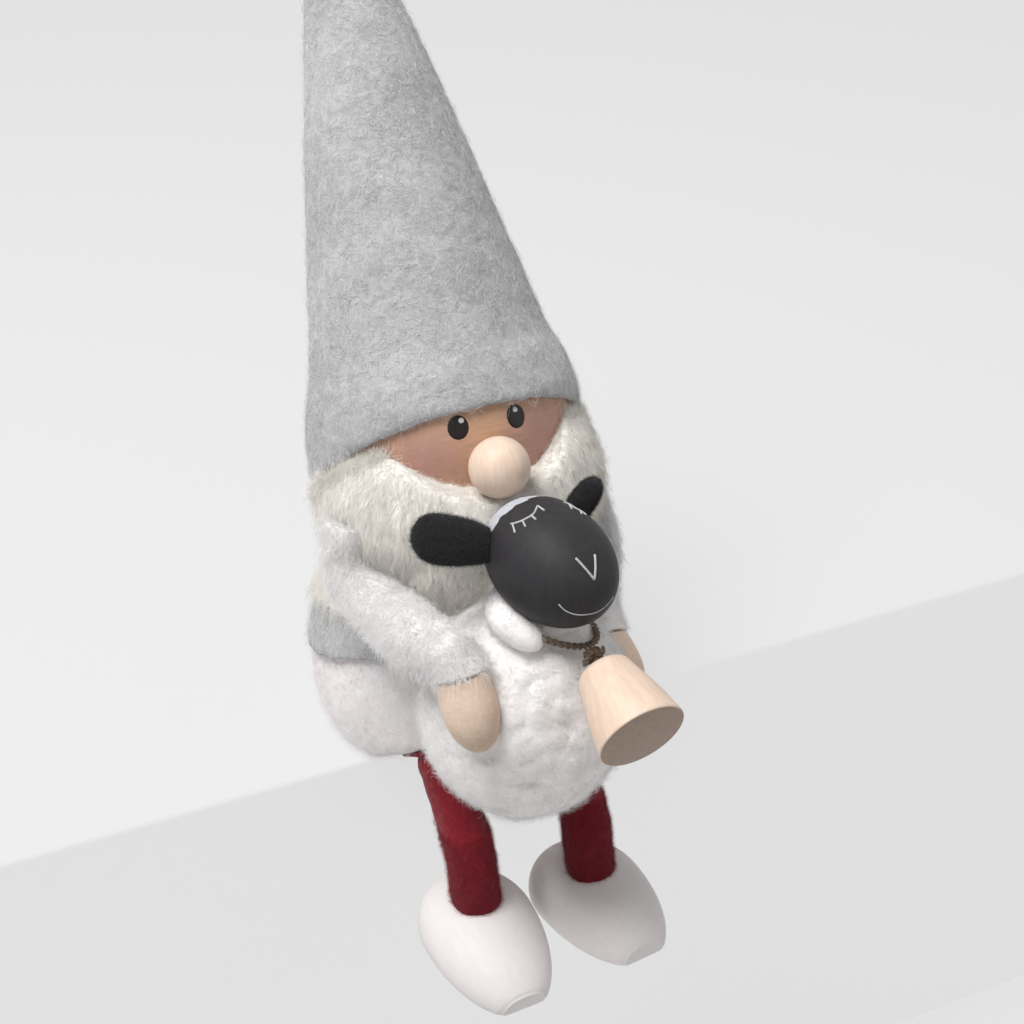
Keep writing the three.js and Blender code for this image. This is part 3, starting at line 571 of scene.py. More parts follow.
def finish(name, group, dark, light, scale=1.0, turn=(0, 0, 0), bump=0.4, depth=0.3 * MM, mark=None,
           roughness=0.9, specular=0.2, sheen=0.0, metallic=0.0):
    """A material whose colour and relief come from an effect; mark may change its colour."""
    made = bpy.data.materials.new(name)
    made.use_nodes = True
    w = Wiring(made.node_tree)
    surface = made.node_tree.nodes["Principled BSDF"]
    place = w.node("TexCoord").outputs["Object"]
    look = w.node("Group", node_tree=group)
    made.node_tree.links.new(w.stretched(place, (1, 1, 1), turn), look.inputs["Vector"])
    look.inputs["Dark"].default_value = (*dark, 1)
    look.inputs["Light"].default_value = (*light, 1)
    look.inputs["Scale"].default_value = scale
    color = mark(w, place, look.outputs["Color"]) if mark else look.outputs["Color"]
    made.node_tree.links.new(color, surface.inputs["Base Color"])
    relief = w.node("Bump", {"Strength": bump, "Distance": depth, "Height": look.outputs["Height"]})
    made.node_tree.links.new(relief.outputs[0], surface.inputs["Normal"])
    for socket, value in (("Roughness", roughness), ("Specular IOR Level", specular), ("Sheen Weight", sheen),
                          ("Metallic", metallic)):
        surface.inputs[socket].default_value = value
    return made


def shade(colour, factor):
    """A colour made darker or lighter by a factor."""
    return tuple(min(1.0, channel * factor) for channel in colour)


# Sizes and colours that a user would change

def length(name, description, default):
    return FloatProperty(name=name, description=description, default=default, unit="LENGTH", precision=5)


def colour(name, description, default):
    return FloatVectorProperty(
        name=name, description=description, default=default, subtype="COLOR", size=3, min=0, max=1)


class GnomeSizes(bpy.types.PropertyGroup):
    """Lengths and counts of the fibres"""
    felt_fibre: length("Felt fibre", "Length of a loose fibre on the grey felt", 2.8 * MM)
    beard_fur: length("Beard fur", "Length of the beard's fur", 3.4 * MM)
    felt_thickness: length("Felt thickness", "Thickness of one fibre of the felt", 0.05 * MM)
    fluff: length("Fluff", "Length of the short fluff on felt and on the sheep's neck", 1.3 * MM)
    fur_thickness: length("Fur thickness", "Thickness of one hair of the beard", 0.075 * MM)
    fleece_fuzz: length("Fleece fuzz", "Length of the soft fuzz on the fleece", 1.9 * MM)
    fuzz_thickness: length("Fuzz thickness", "Thickness of one fibre of the fuzz", 0.042 * MM)
    fleece_puff: length("Fleece puff", "Distance between the puffs of the sheep's fleece", 4.2 * MM)
    fleece_curl: length("Fleece curl", "Radius of a small curl in the fleece", 0.55 * MM)
    beard_hairs: IntProperty(name="Beard hairs", description="How many hairs the beard has", default=42000)


class GnomeColours(bpy.types.PropertyGroup):
    """Base colours of the finishes, in linear light"""
    grey_felt: colour("Grey felt", "Hat and tunic", (0.47, 0.47, 0.475))
    fleece: colour("Fleece", "Sleeves and sheep", (0.91, 0.885, 0.87))
    seat: colour("Seat", "Fleece of the seat", (0.77, 0.73, 0.73))
    fur: colour("Fur", "Beard", (0.93, 0.895, 0.84))
    # Painted shade: the tan that the beard is darkened to low in its middle, where the sleeve and the sheep shade it
    beard_shade: colour("Beard shade", "Backing that shows low in the beard", (0.46, 0.38, 0.26))
    face: colour("Face", "Stained wood of the head", (0.63, 0.38, 0.24))
    cheek: colour("Cheek", "Rouge on the cheeks", (0.42, 0.225, 0.205))
    pale_wood: colour("Pale wood", "Nose, hands and bell", (0.77, 0.595, 0.47))
    core_wood: colour("Core wood", "Wood inside the figure", (0.69, 0.51, 0.30))
    black_paint: colour("Black paint", "Sheep's head", (0.024, 0.022, 0.024))
    white_paint: colour("White paint", "Shoes", (0.76, 0.72, 0.71))
    black_felt: colour("Black felt", "Sheep's ears", (0.010, 0.010, 0.011))
    red_felt: colour("Red felt", "Legs", (0.21, 0.010, 0.019))
    twine: colour("Twine", "Collar and knot", (0.20, 0.15, 0.11))
    steel: colour("Steel", "Wire in the arms", (0.55, 0.55, 0.55))


def sizes():
    return bpy.context.scene.gnome_sizes


def tint(name, factor=1.0):
    """A set colour made darker or lighter by a factor."""
    return shade(getattr(bpy.context.scene.gnome_colours, name), factor)


def felt(name, base, dark=0.48, light=1.3, scale=1.0):
    """Fuzzy felt of a base colour."""
    return finish(name, felt_effect(), shade(base, dark), shade(base, light), scale, bump=0.5, sheen=0.15)


def wool(name, base, dark=0.85, light=1.1, scale=1.0):
    """Soft fleece of a base colour."""
    return finish(name, fleece_effect(), shade(base, dark), shade(base, light), scale,
                  bump=0.32, depth=0.4 * MM, sheen=0.2)


def wood(name, base, turn=(0, 0, 0), dark=0.8, mark=None):
    """Sanded wood of a base colour with its grain turned."""
    return finish(name, grain_effect(), shade(base, dark), shade(base, 1.08), 1.0, turn,
                  bump=0.12, depth=0.1 * MM, mark=mark, roughness=0.5, specular=0.35)


def jute(name):
    """Dark rough twine."""
    return finish(name, felt_effect(), tint("twine", 0.5), tint("twine", 1.5), 2.0, bump=0.6)


def loose(name, fibres, base, body, slot):
    """Loose fibres as a piece: an even colour that varies a little from tuft to tuft."""
    material = finish(name.replace("_", " "), fleece_effect(), shade(base, 0.92), shade(base, 1.06), 0.6,
                      bump=0.05, roughness=0.8, sheen=0.1)
    return piece(name, *fibres, material, body, slot)


# Operators, one for each piece or group of like pieces

class PieceOperator:
    """What every operator here shares"""
    bl_options = {"REGISTER", "UNDO"}

    def execute(self, context):
        self.make()
        return {"FINISHED"}


class GNOME_OT_stage(PieceOperator, bpy.types.Operator):
    """Make the camera, the lamps, the pale floor and the step that the gnome sits on"""
    bl_idname = "gnome.stage"
    bl_label = "Stage"

    def make(self):
        scene = bpy.context.scene
        scene.view_settings.view_transform = "Standard"
        data = bpy.data.cameras.new("camera")
        data.lens = CAMERA["lens"]
        data.sensor_width = 36
        camera = bpy.data.objects.new("camera", data)
        camera.location = CAMERA["place"]
        camera.rotation_euler = (math.radians(90 - CAMERA["elevation"]), 0, math.radians(CAMERA["turn"]))
        scene.collection.objects.link(camera)
        scene.camera = camera
        self.lamp("key", (-0.30, -0.04, 0.70), 0.42, 5.8)
        self.lamp("fill", (0.60, -0.50, 0.35), 0.60, 0.5)
        self.world(scene)
        self.floor()

    def lamp(self, name, place, size, power):
        data = bpy.data.lights.new(name, "AREA")
        data.shape = "DISK"
        data.size = size
        data.energy = power
        lamp = bpy.data.objects.new(name, data)
        lamp.location = place
        lamp.rotation_euler = (Vector((0, -0.02, 0.05)) - Vector(place)).to_track_quat("-Z", "Y").to_euler()
        bpy.context.scene.collection.objects.link(lamp)

    def world(self, scene):
        world = bpy.data.worlds.new("pale studio")
        world.use_nodes = True
        w = Wiring(world.node_tree)
        nodes = world.node_tree.nodes
        nodes["Background"].inputs["Color"].default_value = (0.98, 0.985, 1.0, 1)
        nodes["Background"].inputs["Strength"].default_value = 0.38
        backdrop = w.node("Background", {"Color": BACKDROP, "Strength": 1.0})
        mix = w.node("MixShader", {0: w.seen(), 1: nodes["Background"].outputs[0], 2: backdrop.outputs[0]})
        world.node_tree.links.new(mix.outputs[0], nodes["World Output"].inputs["Surface"])
        scene.world = world

    def floor(self):
        half, depth, drop, bevel = 3.0, 3.0, 0.14, 1 * MM
        arc = [(STEP_EDGE + bevel - bevel * math.sin(a), -bevel + bevel * math.cos(a))
               for a in np.linspace(0, math.pi / 2, 7)]
        profile = [(depth, 0.0), *arc, (STEP_EDGE, -drop), (-depth, -drop)]
        points = [(side, y, z - 0.05 * MM) for side in (-half, half) for y, z in profile]
        count = len(profile)
        faces = [[i, i + 1, count + i + 1, count + i] for i in range(count - 1)]
        mesh = bpy.data.meshes.new("floor")
        mesh.from_pydata(points, [], faces)
        floor = bpy.data.objects.new("floor", mesh)
        bpy.context.scene.collection.objects.link(floor)
        mesh.materials.append(self.ground())

    def ground(self):
        """A pale ground that takes the figure's shadow and otherwise blends with the backdrop."""
        grey = BACKDROP[:3]
        made = finish("floor", paint_effect(), shade(grey, 0.99), grey, 0.2, bump=0.0, roughness=0.95)
        w = Wiring(made.node_tree)
        glow = w.node("Emission", {"Color": BACKDROP, "Strength": 1.0})
        share = w.math("MULTIPLY", w.seen(), GROUND_GLOW)
        surface = made.node_tree.nodes["Principled BSDF"].outputs[0]
        mix = w.node("MixShader", {0: share, 1: surface, 2: glow.outputs[0]})
        made.node_tree.links.new(mix.outputs[0], made.node_tree.nodes["Material Output"].inputs["Surface"])
        return made


class GNOME_OT_hat(PieceOperator, bpy.types.Operator):
    """Make the felt hat with its soft fibres"""
    bl_idname = "gnome.hat"
    bl_label = "Hat"

    def make(self):
        base = tint("grey_felt")
        skin = fine_skin("hat", 0.8 * MM, 24, [(9 * MM, 0.25 * MM), (2.5 * MM, 0.12 * MM)])
        piece("hat_felt", *skin, felt("hat felt", base), "root", "grey_felt", ["hat"])
        tree = others("hat", "hat_filling")
        size = sizes()
        lying = pile(skin, tree, 28000, 11, size.felt_fibre, size.felt_thickness, stand=0.2, curl=0.9)
        fuzzy = pile(skin, tree, 18000, 12, size.fluff, 0.7 * size.felt_thickness, stand=1.2, curl=0.5, steps=4)
        loose("hat_fibres", merged(lying, fuzzy), shade(base, 1.6), "root", "grey_felt")


class GNOME_OT_face(PieceOperator, bpy.types.Operator):
    """Make the stained head with rouged cheeks, painted eyes and the bead for a nose"""
    bl_idname = "gnome.face"
    bl_label = "Face"

    def make(self):
        centre = middle("head")
        low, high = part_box("head")
        radius = (high[0] - low[0]) / 2
        forward = facing(-LEAN, HEAD_TURN)

        def cheeks(w, place, color):
            for side in (-1, 1):
                spot = centre + radius * aimed(forward, side * 27, 4)
                share = w.math("MULTIPLY", w.ramp(w.away(place, spot), 11 * MM, 2 * MM), 0.7)
                color = w.blend(share, color, (*tint("cheek"), 1))
            return color

        outline = egg_outline(2 * radius, radius, radius, 0.05 * MM, 0.05 * MM, 60)
        ball = turned(centre - radius * forward, forward, outline, 120)
        stain = wood("stained wood", tint("face"), (0, math.radians(90), 0), 0.72, cheeks)
        piece("head_ball", *ball, stain, "root", "tinted_wood", ["head"])
        self.eyes(centre, radius, forward)
        self.nose()

    def eyes(self, centre, radius, forward):
        black = finish("eye black", paint_effect(), (0.008, 0.006, 0.006), (0.014, 0.011, 0.010), bump=0.05,
                       roughness=0.42, specular=0.3)
        white = finish("eye glint", paint_effect(), (0.58, 0.57, 0.56), (0.68, 0.67, 0.66), bump=0.05,
                       roughness=0.5)
        for side, turn in EYE_TURNS.items():
            aim = aimed(forward, turn, EYE_RISE)
            shown = patch(lambda _: radius, centre, aim, *EYE_SIZE, 0.16 * MM)
            piece(f"{side}_eye", *shown, black, "root", "tinted_wood")
            rise = EYE_RISE + math.degrees(GLINT_RISE / radius)
            glint = aimed(forward, turn + GLINT_TURNS[side], rise)
            shown = patch(lambda _: radius + 0.14 * MM, centre, glint, GLINT_SIZE, GLINT_SIZE, 0.12 * MM, 5, 20)
            piece(f"{side}_eye_glint", *shown, white, "root", "tinted_wood")

    def nose(self):
        low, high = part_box("nose")
        radius = (high[0] - low[0]) / 2
        centre = middle("nose")
        centre[1] = low[1] + radius
        axis = facing(60, 20)
        outline = egg_outline(2 * radius, radius, radius, 0.03 * MM, 0.03 * MM)
        bead = turned(centre - radius * axis, axis, outline)
        grain = wood("nose wood", tint("pale_wood"), (math.radians(30), 0, 0), 0.84)
        piece("nose_bead", *bead, grain, "root", "pale_wood", ["nose"])


class GNOME_OT_beard(PieceOperator, bpy.types.Operator):
    """Make the beard: a soft backing with thousands of short combed hairs"""
    bl_idname = "gnome.beard"
    bl_label = "Beard"

    def make(self):
        base = tint("fur")
        # Painted shade: the beard is darkened to tan round a spot low in its middle, between the sleeve and the
        # sheep, where shade falls
        hollow = middle("head") + np.array([-1, -30, -30]) * MM

        def beard_shade(w, place, color):
            share = w.math("MULTIPLY", w.ramp(w.away(place, hollow), 15 * MM, 3 * MM), 0.75)
            return w.blend(share, color, (*tint("beard_shade"), 1))

        def fur(name, dark, light, bump):
            return finish(name, fur_effect(), shade(base, dark), shade(base, light), bump=bump, depth=0.4 * MM,
                          mark=beard_shade, sheen=0.2)

        skin = swollen(fine_skin("beard", 0.55 * MM, 3, [(6 * MM, 0.4 * MM), (2 * MM, 0.2 * MM)]), 0.3 * MM)
        piece("beard_backing", *skin, fur("beard backing", 0.84, 1.05, 0.4), "root", "beard_fur", ["beard"])
        tree = others("beard")
        size = sizes()
        hairs = pile(skin, tree, size.beard_hairs, 21, size.beard_fur, size.fur_thickness, comb=1.6, curl=0.4,
                     room=TIGHT_ROOM)
        fuzzy = pile(skin, tree, 14000, 22, size.fleece_fuzz, size.fuzz_thickness, stand=1.2, comb=0.3, curl=0.5,
                     steps=4, room=TIGHT_ROOM)
        hat = solids(["hat"])
        rim = only(skin, lambda point: hat.find_nearest(Vector(point), RIM)[3] is not None)
        rising = pile(rim, tree, 9000, 23, 0.8 * size.beard_fur, size.fur_thickness, stand=0.6, comb=-1.6, curl=0.3,
                      room=TIGHT_ROOM / 2)
        piece("beard_hairs", *merged(hairs, fuzzy, rising), fur("beard hairs", 0.92, 1.08, 0.05), "root", "beard_fur")


class GNOME_OT_tunic(PieceOperator, bpy.types.Operator):
    """Make the felt tunic that shows behind the arm and on the back"""
    bl_idname = "gnome.tunic"
    bl_label = "Tunic"

    def make(self):
        base = tint("grey_felt")
        skin = fine_skin("tunic", 0.45 * MM, 12, [(7 * MM, 0.2 * MM), (2.5 * MM, 0.1 * MM)])
        skin = swollen(skin, 0.25 * MM)
        piece("tunic_felt", *skin, felt("tunic felt", base), "root", "grey_felt", ["tunic"])
        size = sizes()
        fibres = pile(skin, others("tunic"), 15000, 31, size.felt_fibre, size.felt_thickness, curl=0.8)
        loose("tunic_fibres", fibres, shade(base, 1.6), "root", "grey_felt")


class GNOME_OT_seat(PieceOperator, bpy.types.Operator):
    """Make the fleece seat under the tunic's hem"""
    bl_idname = "gnome.seat"
    bl_label = "Fleece seat"

    def make(self):
        base = tint("seat")
        size = sizes()
        skin = fine_skin("fleece_seat", 0.8 * MM, 12, [(8 * MM, 0.3 * MM), (2 * MM, 0.1 * MM)])
        shown = piece("seat_fleece", *skin, wool("seat fleece", base, 0.9), "root", "white_fleece", ["fleece_seat"])
        fibres = pile(skin, others("fleece_seat"), 24000, 41, size.fleece_fuzz, size.fuzz_thickness, stand=0.8)
        loose("seat_fibres", fibres, shade(base, 1.12), "root", "white_fleece")


class GNOME_OT_arms(PieceOperator, bpy.types.Operator):
    """Make the fleece sleeves and the turned hands of both arms"""
    bl_idname = "gnome.arms"
    bl_label = "Arms"

    def make(self):
        for seed, side in ((51, "right"), (56, "left")):
            self.sleeve(side, seed)
            self.hand(side)

    def sleeve(self, side, seed):
        base = tint("fleece")
        size = sizes()
        skin = fine_skin(f"{side}_sleeve", 0.5 * MM, 10, [(6 * MM, 0.35 * MM), (1.6 * MM, 0.07 * MM)])
        body = f"{side}_arm"
        material = wool(f"{side} sleeve fleece", base, 0.88)
        shown = piece(f"{side}_sleeve_fleece", *skin, material, body, "white_fleece", [f"{side}_sleeve"])
        tree = others(f"{side}_sleeve", f"{side}_arm_wire")
        fibres = pile(skin, tree, 20000, seed, size.fleece_fuzz, size.fuzz_thickness, stand=0.8)
        elbow = skin[0][:, 2].max() - SHOULDER_HAIR
        shoulder = only(skin, lambda point: point[2] > elbow)
        hairs = pile(shoulder, tree, 9000, seed + 2, size.beard_fur, size.fur_thickness, stand=0.5, comb=1.2,
                     curl=0.4, room=TIGHT_ROOM)
        loose(f"{side}_sleeve_fibres", merged(fibres, hairs), shade(base, 1.08), body, "white_fleece")

    def hand(self, side):
        axis = self.turning_axis(side)
        end, total, _, radius = along_axis(f"{side}_hand", axis)
        widest = radius.max()
        long = total - TENON
        tenon = [(-TENON, TENON), (-0.3 * MM, TENON)]
        outline = egg_outline(long, widest, 5 * MM, 0.91 * widest, 0.05 * MM)
        dome = turned(end - long * axis, axis, [*tenon, *outline])

        # The hand's tip is darkened towards brown: streaked end grain, and painted shade on the lower part, which
        # turns away from the light
        def tip_grain_and_shade(w, place, color):
            tip = float(end @ axis)
            streaks = w.ramp(w.noise(w.stretched(place, (1, 0.2, 1)), 2600, 3, 0.4), 0.35, 0.65)
            strength = w.math("ADD", w.math("MULTIPLY", streaks, 0.3), 0.3)
            share = w.math("MULTIPLY", w.ramp(w.depth(place, axis), tip - 9 * MM, tip - 2 * MM), strength)
            return w.blend(share, color, (0.36, 0.24, 0.16, 1))

        material = wood(f"{side} hand wood", tint("pale_wood"), (math.radians(115), 0, 0), 0.84, tip_grain_and_shade)
        piece(f"{side}_hand_dome", *dome, material, f"{side}_arm", "pale_wood", [f"{side}_hand"])

    def turning_axis(self, side):
        """The axis that a hand was turned about, out of the sleeve: the odd one of its three main directions."""
        points = corners(f"{side}_hand")
        offset = points - points.mean(axis=0)
        spreads, directions = np.linalg.eigh(offset.T @ offset)
        odd = 0 if spreads[2] - spreads[1] < spreads[1] - spreads[0] else 2
        axis = directions[:, odd]
        return axis if axis @ (points.mean(axis=0) - corners(f"{side}_sleeve").mean(axis=0)) > 0 else -axis


class GNOME_OT_sheep_body(PieceOperator, bpy.types.Operator):
    """Make the sheep's lumpy fleece with its small curls"""
    bl_idname = "gnome.sheep_body"
    bl_label = "Sheep's fleece"

    def make(self):
        base = tint("fleece")
        size = sizes()
        skin = fine_skin("sheep_body", 0.5 * MM, 8, [(8 * MM, 0.5 * MM), (1.4 * MM, 0.15 * MM)])
        skin = puffed(skin, size.fleece_puff, 0.8 * MM, 60)
        shown = piece("sheep_fleece", *skin, wool("sheep fleece", base, 0.86), "root", "white_fleece", ["sheep_body"])
        tree = others("sheep_body", "sheep_core")
        fibres = pile(skin, tree, 48000, 61, size.fleece_fuzz, size.fuzz_thickness, stand=0.7, curl=1.2, steps=6)
        loops = curls(skin, tree, 160, 66, size.fleece_curl, 0.07 * MM)
        loose("sheep_fibres", merged(fibres, loops), shade(base, 1.1), "root", "white_fleece")
        self.neck(base)

    def neck(self, base):
        """The tuft of fleece round the neck, which hides the dowel between the body and the head."""
        foot = middle("sheep_neck_dowel")
        foot[2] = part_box("sheep_head")[0][2] - 4.5 * MM
        outline = egg_outline(8 * MM, 5.6 * MM, 4 * MM, 0.05 * MM, 0.05 * MM)
        centre, normal, radius = collar_ring()
        share = np.linspace(-1, 1, 90)
        turn = np.radians(np.interp(share, (-1, 1), COLLAR_COVER))[:, None]
        aside = np.concatenate([np.cos(turn), np.sin(turn), 0 * turn], axis=1)
        aside = unit(aside - (aside @ normal)[:, None] * normal)
        route = centre + (radius + 0.3 * MM) * aside - 1.2 * MM * UP
        thickness = COLLAR_ROLL * np.sqrt(np.clip(1 - share ** 6, 0.01, 1))
        roll = tubes(route[None], thickness[None], 32)
        tuft = merged(puffed(turned(foot, UP, outline), 2 * MM, 0.5 * MM, 67), puffed(roll, 4 * MM, 0.5 * MM, 69))
        fibres = pile(tuft, others("sheep_body", "twine_collar"), 5000, 68, sizes().fluff, sizes().fuzz_thickness,
                      stand=0.8, curl=1.2, room=TIGHT_ROOM)
        piece("sheep_neck_tuft", *tuft, wool("neck fleece", base, 0.86), "root", "white_fleece")
        loose("sheep_neck_fibres", fibres, shade(base, 1.06), "root", "white_fleece")


class GNOME_OT_sheep_head(PieceOperator, bpy.types.Operator):
    """Make the sheep's painted head, its drawn features and its felt ears"""
    bl_idname = "gnome.sheep_head"
    bl_label = "Sheep's head"

    def make(self):
        axis = facing(**SHEEP_HEAD)
        end, total, _, radius = along_axis("sheep_head", axis)
        widest = radius.max()
        outline = egg_outline(total, widest, total / 2, 0.05 * MM, 0.05 * MM, 60)
        egg = turned(end - total * axis, axis, outline, 120)
        centre = end - total / 2 * axis
        half = total / 2

        def cap(w, place, color):
            edge = w.math("MULTIPLY", w.noise(place, 400, 1), 4.2 * MM)
            start = float(centre @ axis) - 9.4 * MM
            share = w.ramp(w.math("SUBTRACT", w.depth(place, axis), edge), start + 0.12 * MM, start - 0.12 * MM)
            scuff = w.ramp(w.noise(place, 1400, 4, 1.0), 0.3, 0.6)
            share = w.math("MULTIPLY", share, w.math("ADD", w.math("MULTIPLY", scuff, 0.25), 0.72))
            return w.blend(share, color, (0.56, 0.57, 0.62, 1))

        base = tint("black_paint")
        paint = finish("black paint", paint_effect(), shade(base, 0.72), shade(base, 1.3), bump=0.12,
                       depth=0.08 * MM, mark=cap, roughness=0.6, specular=0.25)
        piece("sheep_head_egg", *egg, paint, "root", "black_paint", ["sheep_head"])

        def surface(aim):
            forward = aim @ axis
            return 1 / math.sqrt((forward / half) ** 2 + (1 - forward ** 2) / widest ** 2)

        def mark(name, strokes, thickness):
            made = []
            for stroke in strokes:
                aims = [aimed(axis, *angles) for angles in stroke]
                points = through([centre + aim * (surface(aim) + 0.02 * MM) for aim in aims], 5 * len(aims))
                aims = unit(points - centre)
                points = np.array([centre + aim * (surface(aim) + 0.02 * MM) for aim in aims])
                made.append(tubes(points[None], np.full((1, len(points)), thickness / 2), 8))
            piece(name, *merged(*made), chalk, "root", "black_paint")

        chalk = finish("white line", paint_effect(), (0.30, 0.30, 0.31), (0.66, 0.66, 0.67), 3.0, bump=0.4,
                       roughness=0.9)
        mark("sheep_eyes", SHEEP_EYES + SHEEP_LASHES, 0.38 * MM)
        mark("sheep_nose", SHEEP_NOSE, 0.42 * MM)
        mark("sheep_smile", [SHEEP_SMILE], 0.24 * MM)
        self.ears()

    def ears(self):
        base = tint("black_felt")
        size = sizes()
        for seed, side in ((71, "right"), (76, "left")):
            skin = swollen(fine_skin(f"sheep_{side}_ear", 0.3 * MM, 5, [(2 * MM, 0.08 * MM)]), 0.25 * MM)
            piece(f"sheep_{side}_ear_felt", *skin, felt(f"{side} ear felt", base, 0.6, 1.8), "root", "black_felt",
                  [f"sheep_{side}_ear"])
            fibres = pile(skin, others(f"sheep_{side}_ear"), 6000, seed, 0.7 * size.fluff, 0.8 * size.felt_thickness,
                          stand=0.9, curl=0.5, steps=4)
            loose(f"sheep_{side}_ear_fibres", fibres, shade(base, 2.2), "root", "black_felt")


class GNOME_OT_collar(PieceOperator, bpy.types.Operator):
    """Make the twine collar and the knot that carries the bell"""
    bl_idname = "gnome.collar"
    bl_label = "Collar"

    def make(self):
        material = jute("twine")
        centre, normal, radius = collar_ring()
        across = unit(np.cross(normal, np.array([0.0, 1.0, 0.0])))
        third = np.cross(normal, across)
        angle = np.linspace(0, 2 * np.pi, 160)[:, None]
        ring = centre + radius * (np.cos(angle) * across + np.sin(angle) * third)
        piece("collar_twine", *plied(ring, 0.6 * MM, 2.6 * MM), material, "root", "jute", ["twine_collar"])
        self.knot(material)

    def knot(self, material):
        centre = joint_place("bell_sway")
        angle = np.linspace(0, 4 * np.pi, 90)[:, None]
        size = 1.0 * MM
        wrap = centre + size * np.concatenate([
            np.cos(angle) * (1 + 0.25 * np.cos(1.5 * angle)), 0.55 * np.sin(1.5 * angle),
            np.sin(angle) * (1 + 0.25 * np.cos(1.5 * angle))], axis=1)
        routes = [[(0, 0, 0), (-1.5, -0.8, 0.2), (-2.4, -1.2, -0.6)], [(0, 0, 0), (0.9, -0.9, 0.9), (1.3, -1.4, 2.0)]]
        ends = [plied(through(centre + np.array(route) * MM, 24), 0.55 * MM, 2.4 * MM) for route in routes]
        piece("collar_knot", *merged(plied(wrap, 0.6 * MM, 2.4 * MM), *ends), material, "knot", "jute",
              ["twine_knot"])


class GNOME_OT_bell(PieceOperator, bpy.types.Operator):
    """Make the turned wooden bell and the short twine that it hangs on"""
    bl_idname = "gnome.bell"
    bl_label = "Bell"

    def make(self):
        axis = facing(**BELL)
        end, total, back, radius = along_axis("bell", axis)
        mouth = radius.max()
        top = radius[back > 0.85 * total].max()
        edge, lip_edge = 2.2 * MM, 0.4 * MM
        shoulder = [(edge - edge * math.cos(a), top - edge + edge * math.sin(a)) for a in np.linspace(0, 1.45, 10)]
        middle_radius = top + 0.58 * (mouth - top)
        side = through([(edge, top), (0.55 * total, middle_radius), (total - lip_edge, mouth)], 20)[1:-1]
        lip = [(total - lip_edge * (1 - math.sin(a)), mouth - lip_edge * (1 - math.cos(a)))
               for a in np.linspace(0, math.pi / 2, 6)]
        face = [(total + 0.35 * MM * (1 - share ** 2), share * (mouth - lip_edge)) for share in (0.9, 0.6, 0.3, 0.02)]
        outline = [(0, 0.05 * MM), *shoulder, *side, *lip, *face]
        rim = float(end @ axis)

        # The flat mouth is darkened to a speckled brown: its end grain, and painted shade, as it faces down away from
        # the light
        def mouth_grain_and_shade(w, place, color):
            share = w.math("MULTIPLY", w.ramp(w.depth(place, axis), rim - 0.12 * MM, rim - 0.02 * MM), 0.85)
            speckle = w.ramp(w.noise(place, 1500, 4), 0.3, 0.7)
            brown = w.blend(speckle, (0.20, 0.14, 0.10, 1), (0.29, 0.205, 0.15, 1))
            return w.blend(share, color, brown)

        turn = (math.radians(90 - BELL["drop"]), 0, 0)
        grain = wood("bell wood", tint("pale_wood"), turn, 0.86, mouth_grain_and_shade)
        piece("bell_cup", *turned(end - total * axis, axis, outline, 120), grain, "bell", "pale_wood", ["bell"])
        start = joint_place("bell_lift")
        path = np.linspace(start + 0.6 * MM * axis, start + 6 * MM * axis, 30)
        piece("bell_cord", *plied(path, 0.6 * MM, 2.4 * MM), jute("bell twine"), "bell", "jute", ["bell_twine"])


class GNOME_OT_legs(PieceOperator, bpy.types.Operator):
    """Make the red felt legs and the tabs that hang them"""
    bl_idname = "gnome.legs"
    bl_label = "Legs"

    def make(self):
        base = tint("red_felt")
        size = sizes()
        for seed, side in ((81, "right"), (86, "left")):
            skin = fine_skin(f"{side}_leg", 0.45 * MM, 26, [(5 * MM, 0.3 * MM), (1.2 * MM, 0.1 * MM)])
            material = felt(f"{side} leg felt", base, 0.4, 1.45)
            piece(f"{side}_leg_felt", *skin, material, f"{side}_leg", "red_felt", [f"{side}_leg"])
            tree = others(f"{side}_leg")
            hip = joint_place(f"{side}_leg_swing")[2]
            shown = only(skin, lambda point: point[2] < hip - HIP_BARE)
            fibres = pile(shown, tree, 13000, seed, size.fluff, 0.8 * size.felt_thickness, stand=0.8, steps=4)
            loose(f"{side}_leg_fibres", fibres, shade(base, 1.3), f"{side}_leg", "red_felt")
            tab = fine_skin(f"{side}_hip_tab", 0.3 * MM, 4, [(2 * MM, 0.1 * MM)])
            piece(f"{side}_tab_felt", *tab, felt(f"{side} tab felt", base, 0.45, 1.5), "root", "red_felt",
                  [f"{side}_hip_tab"])


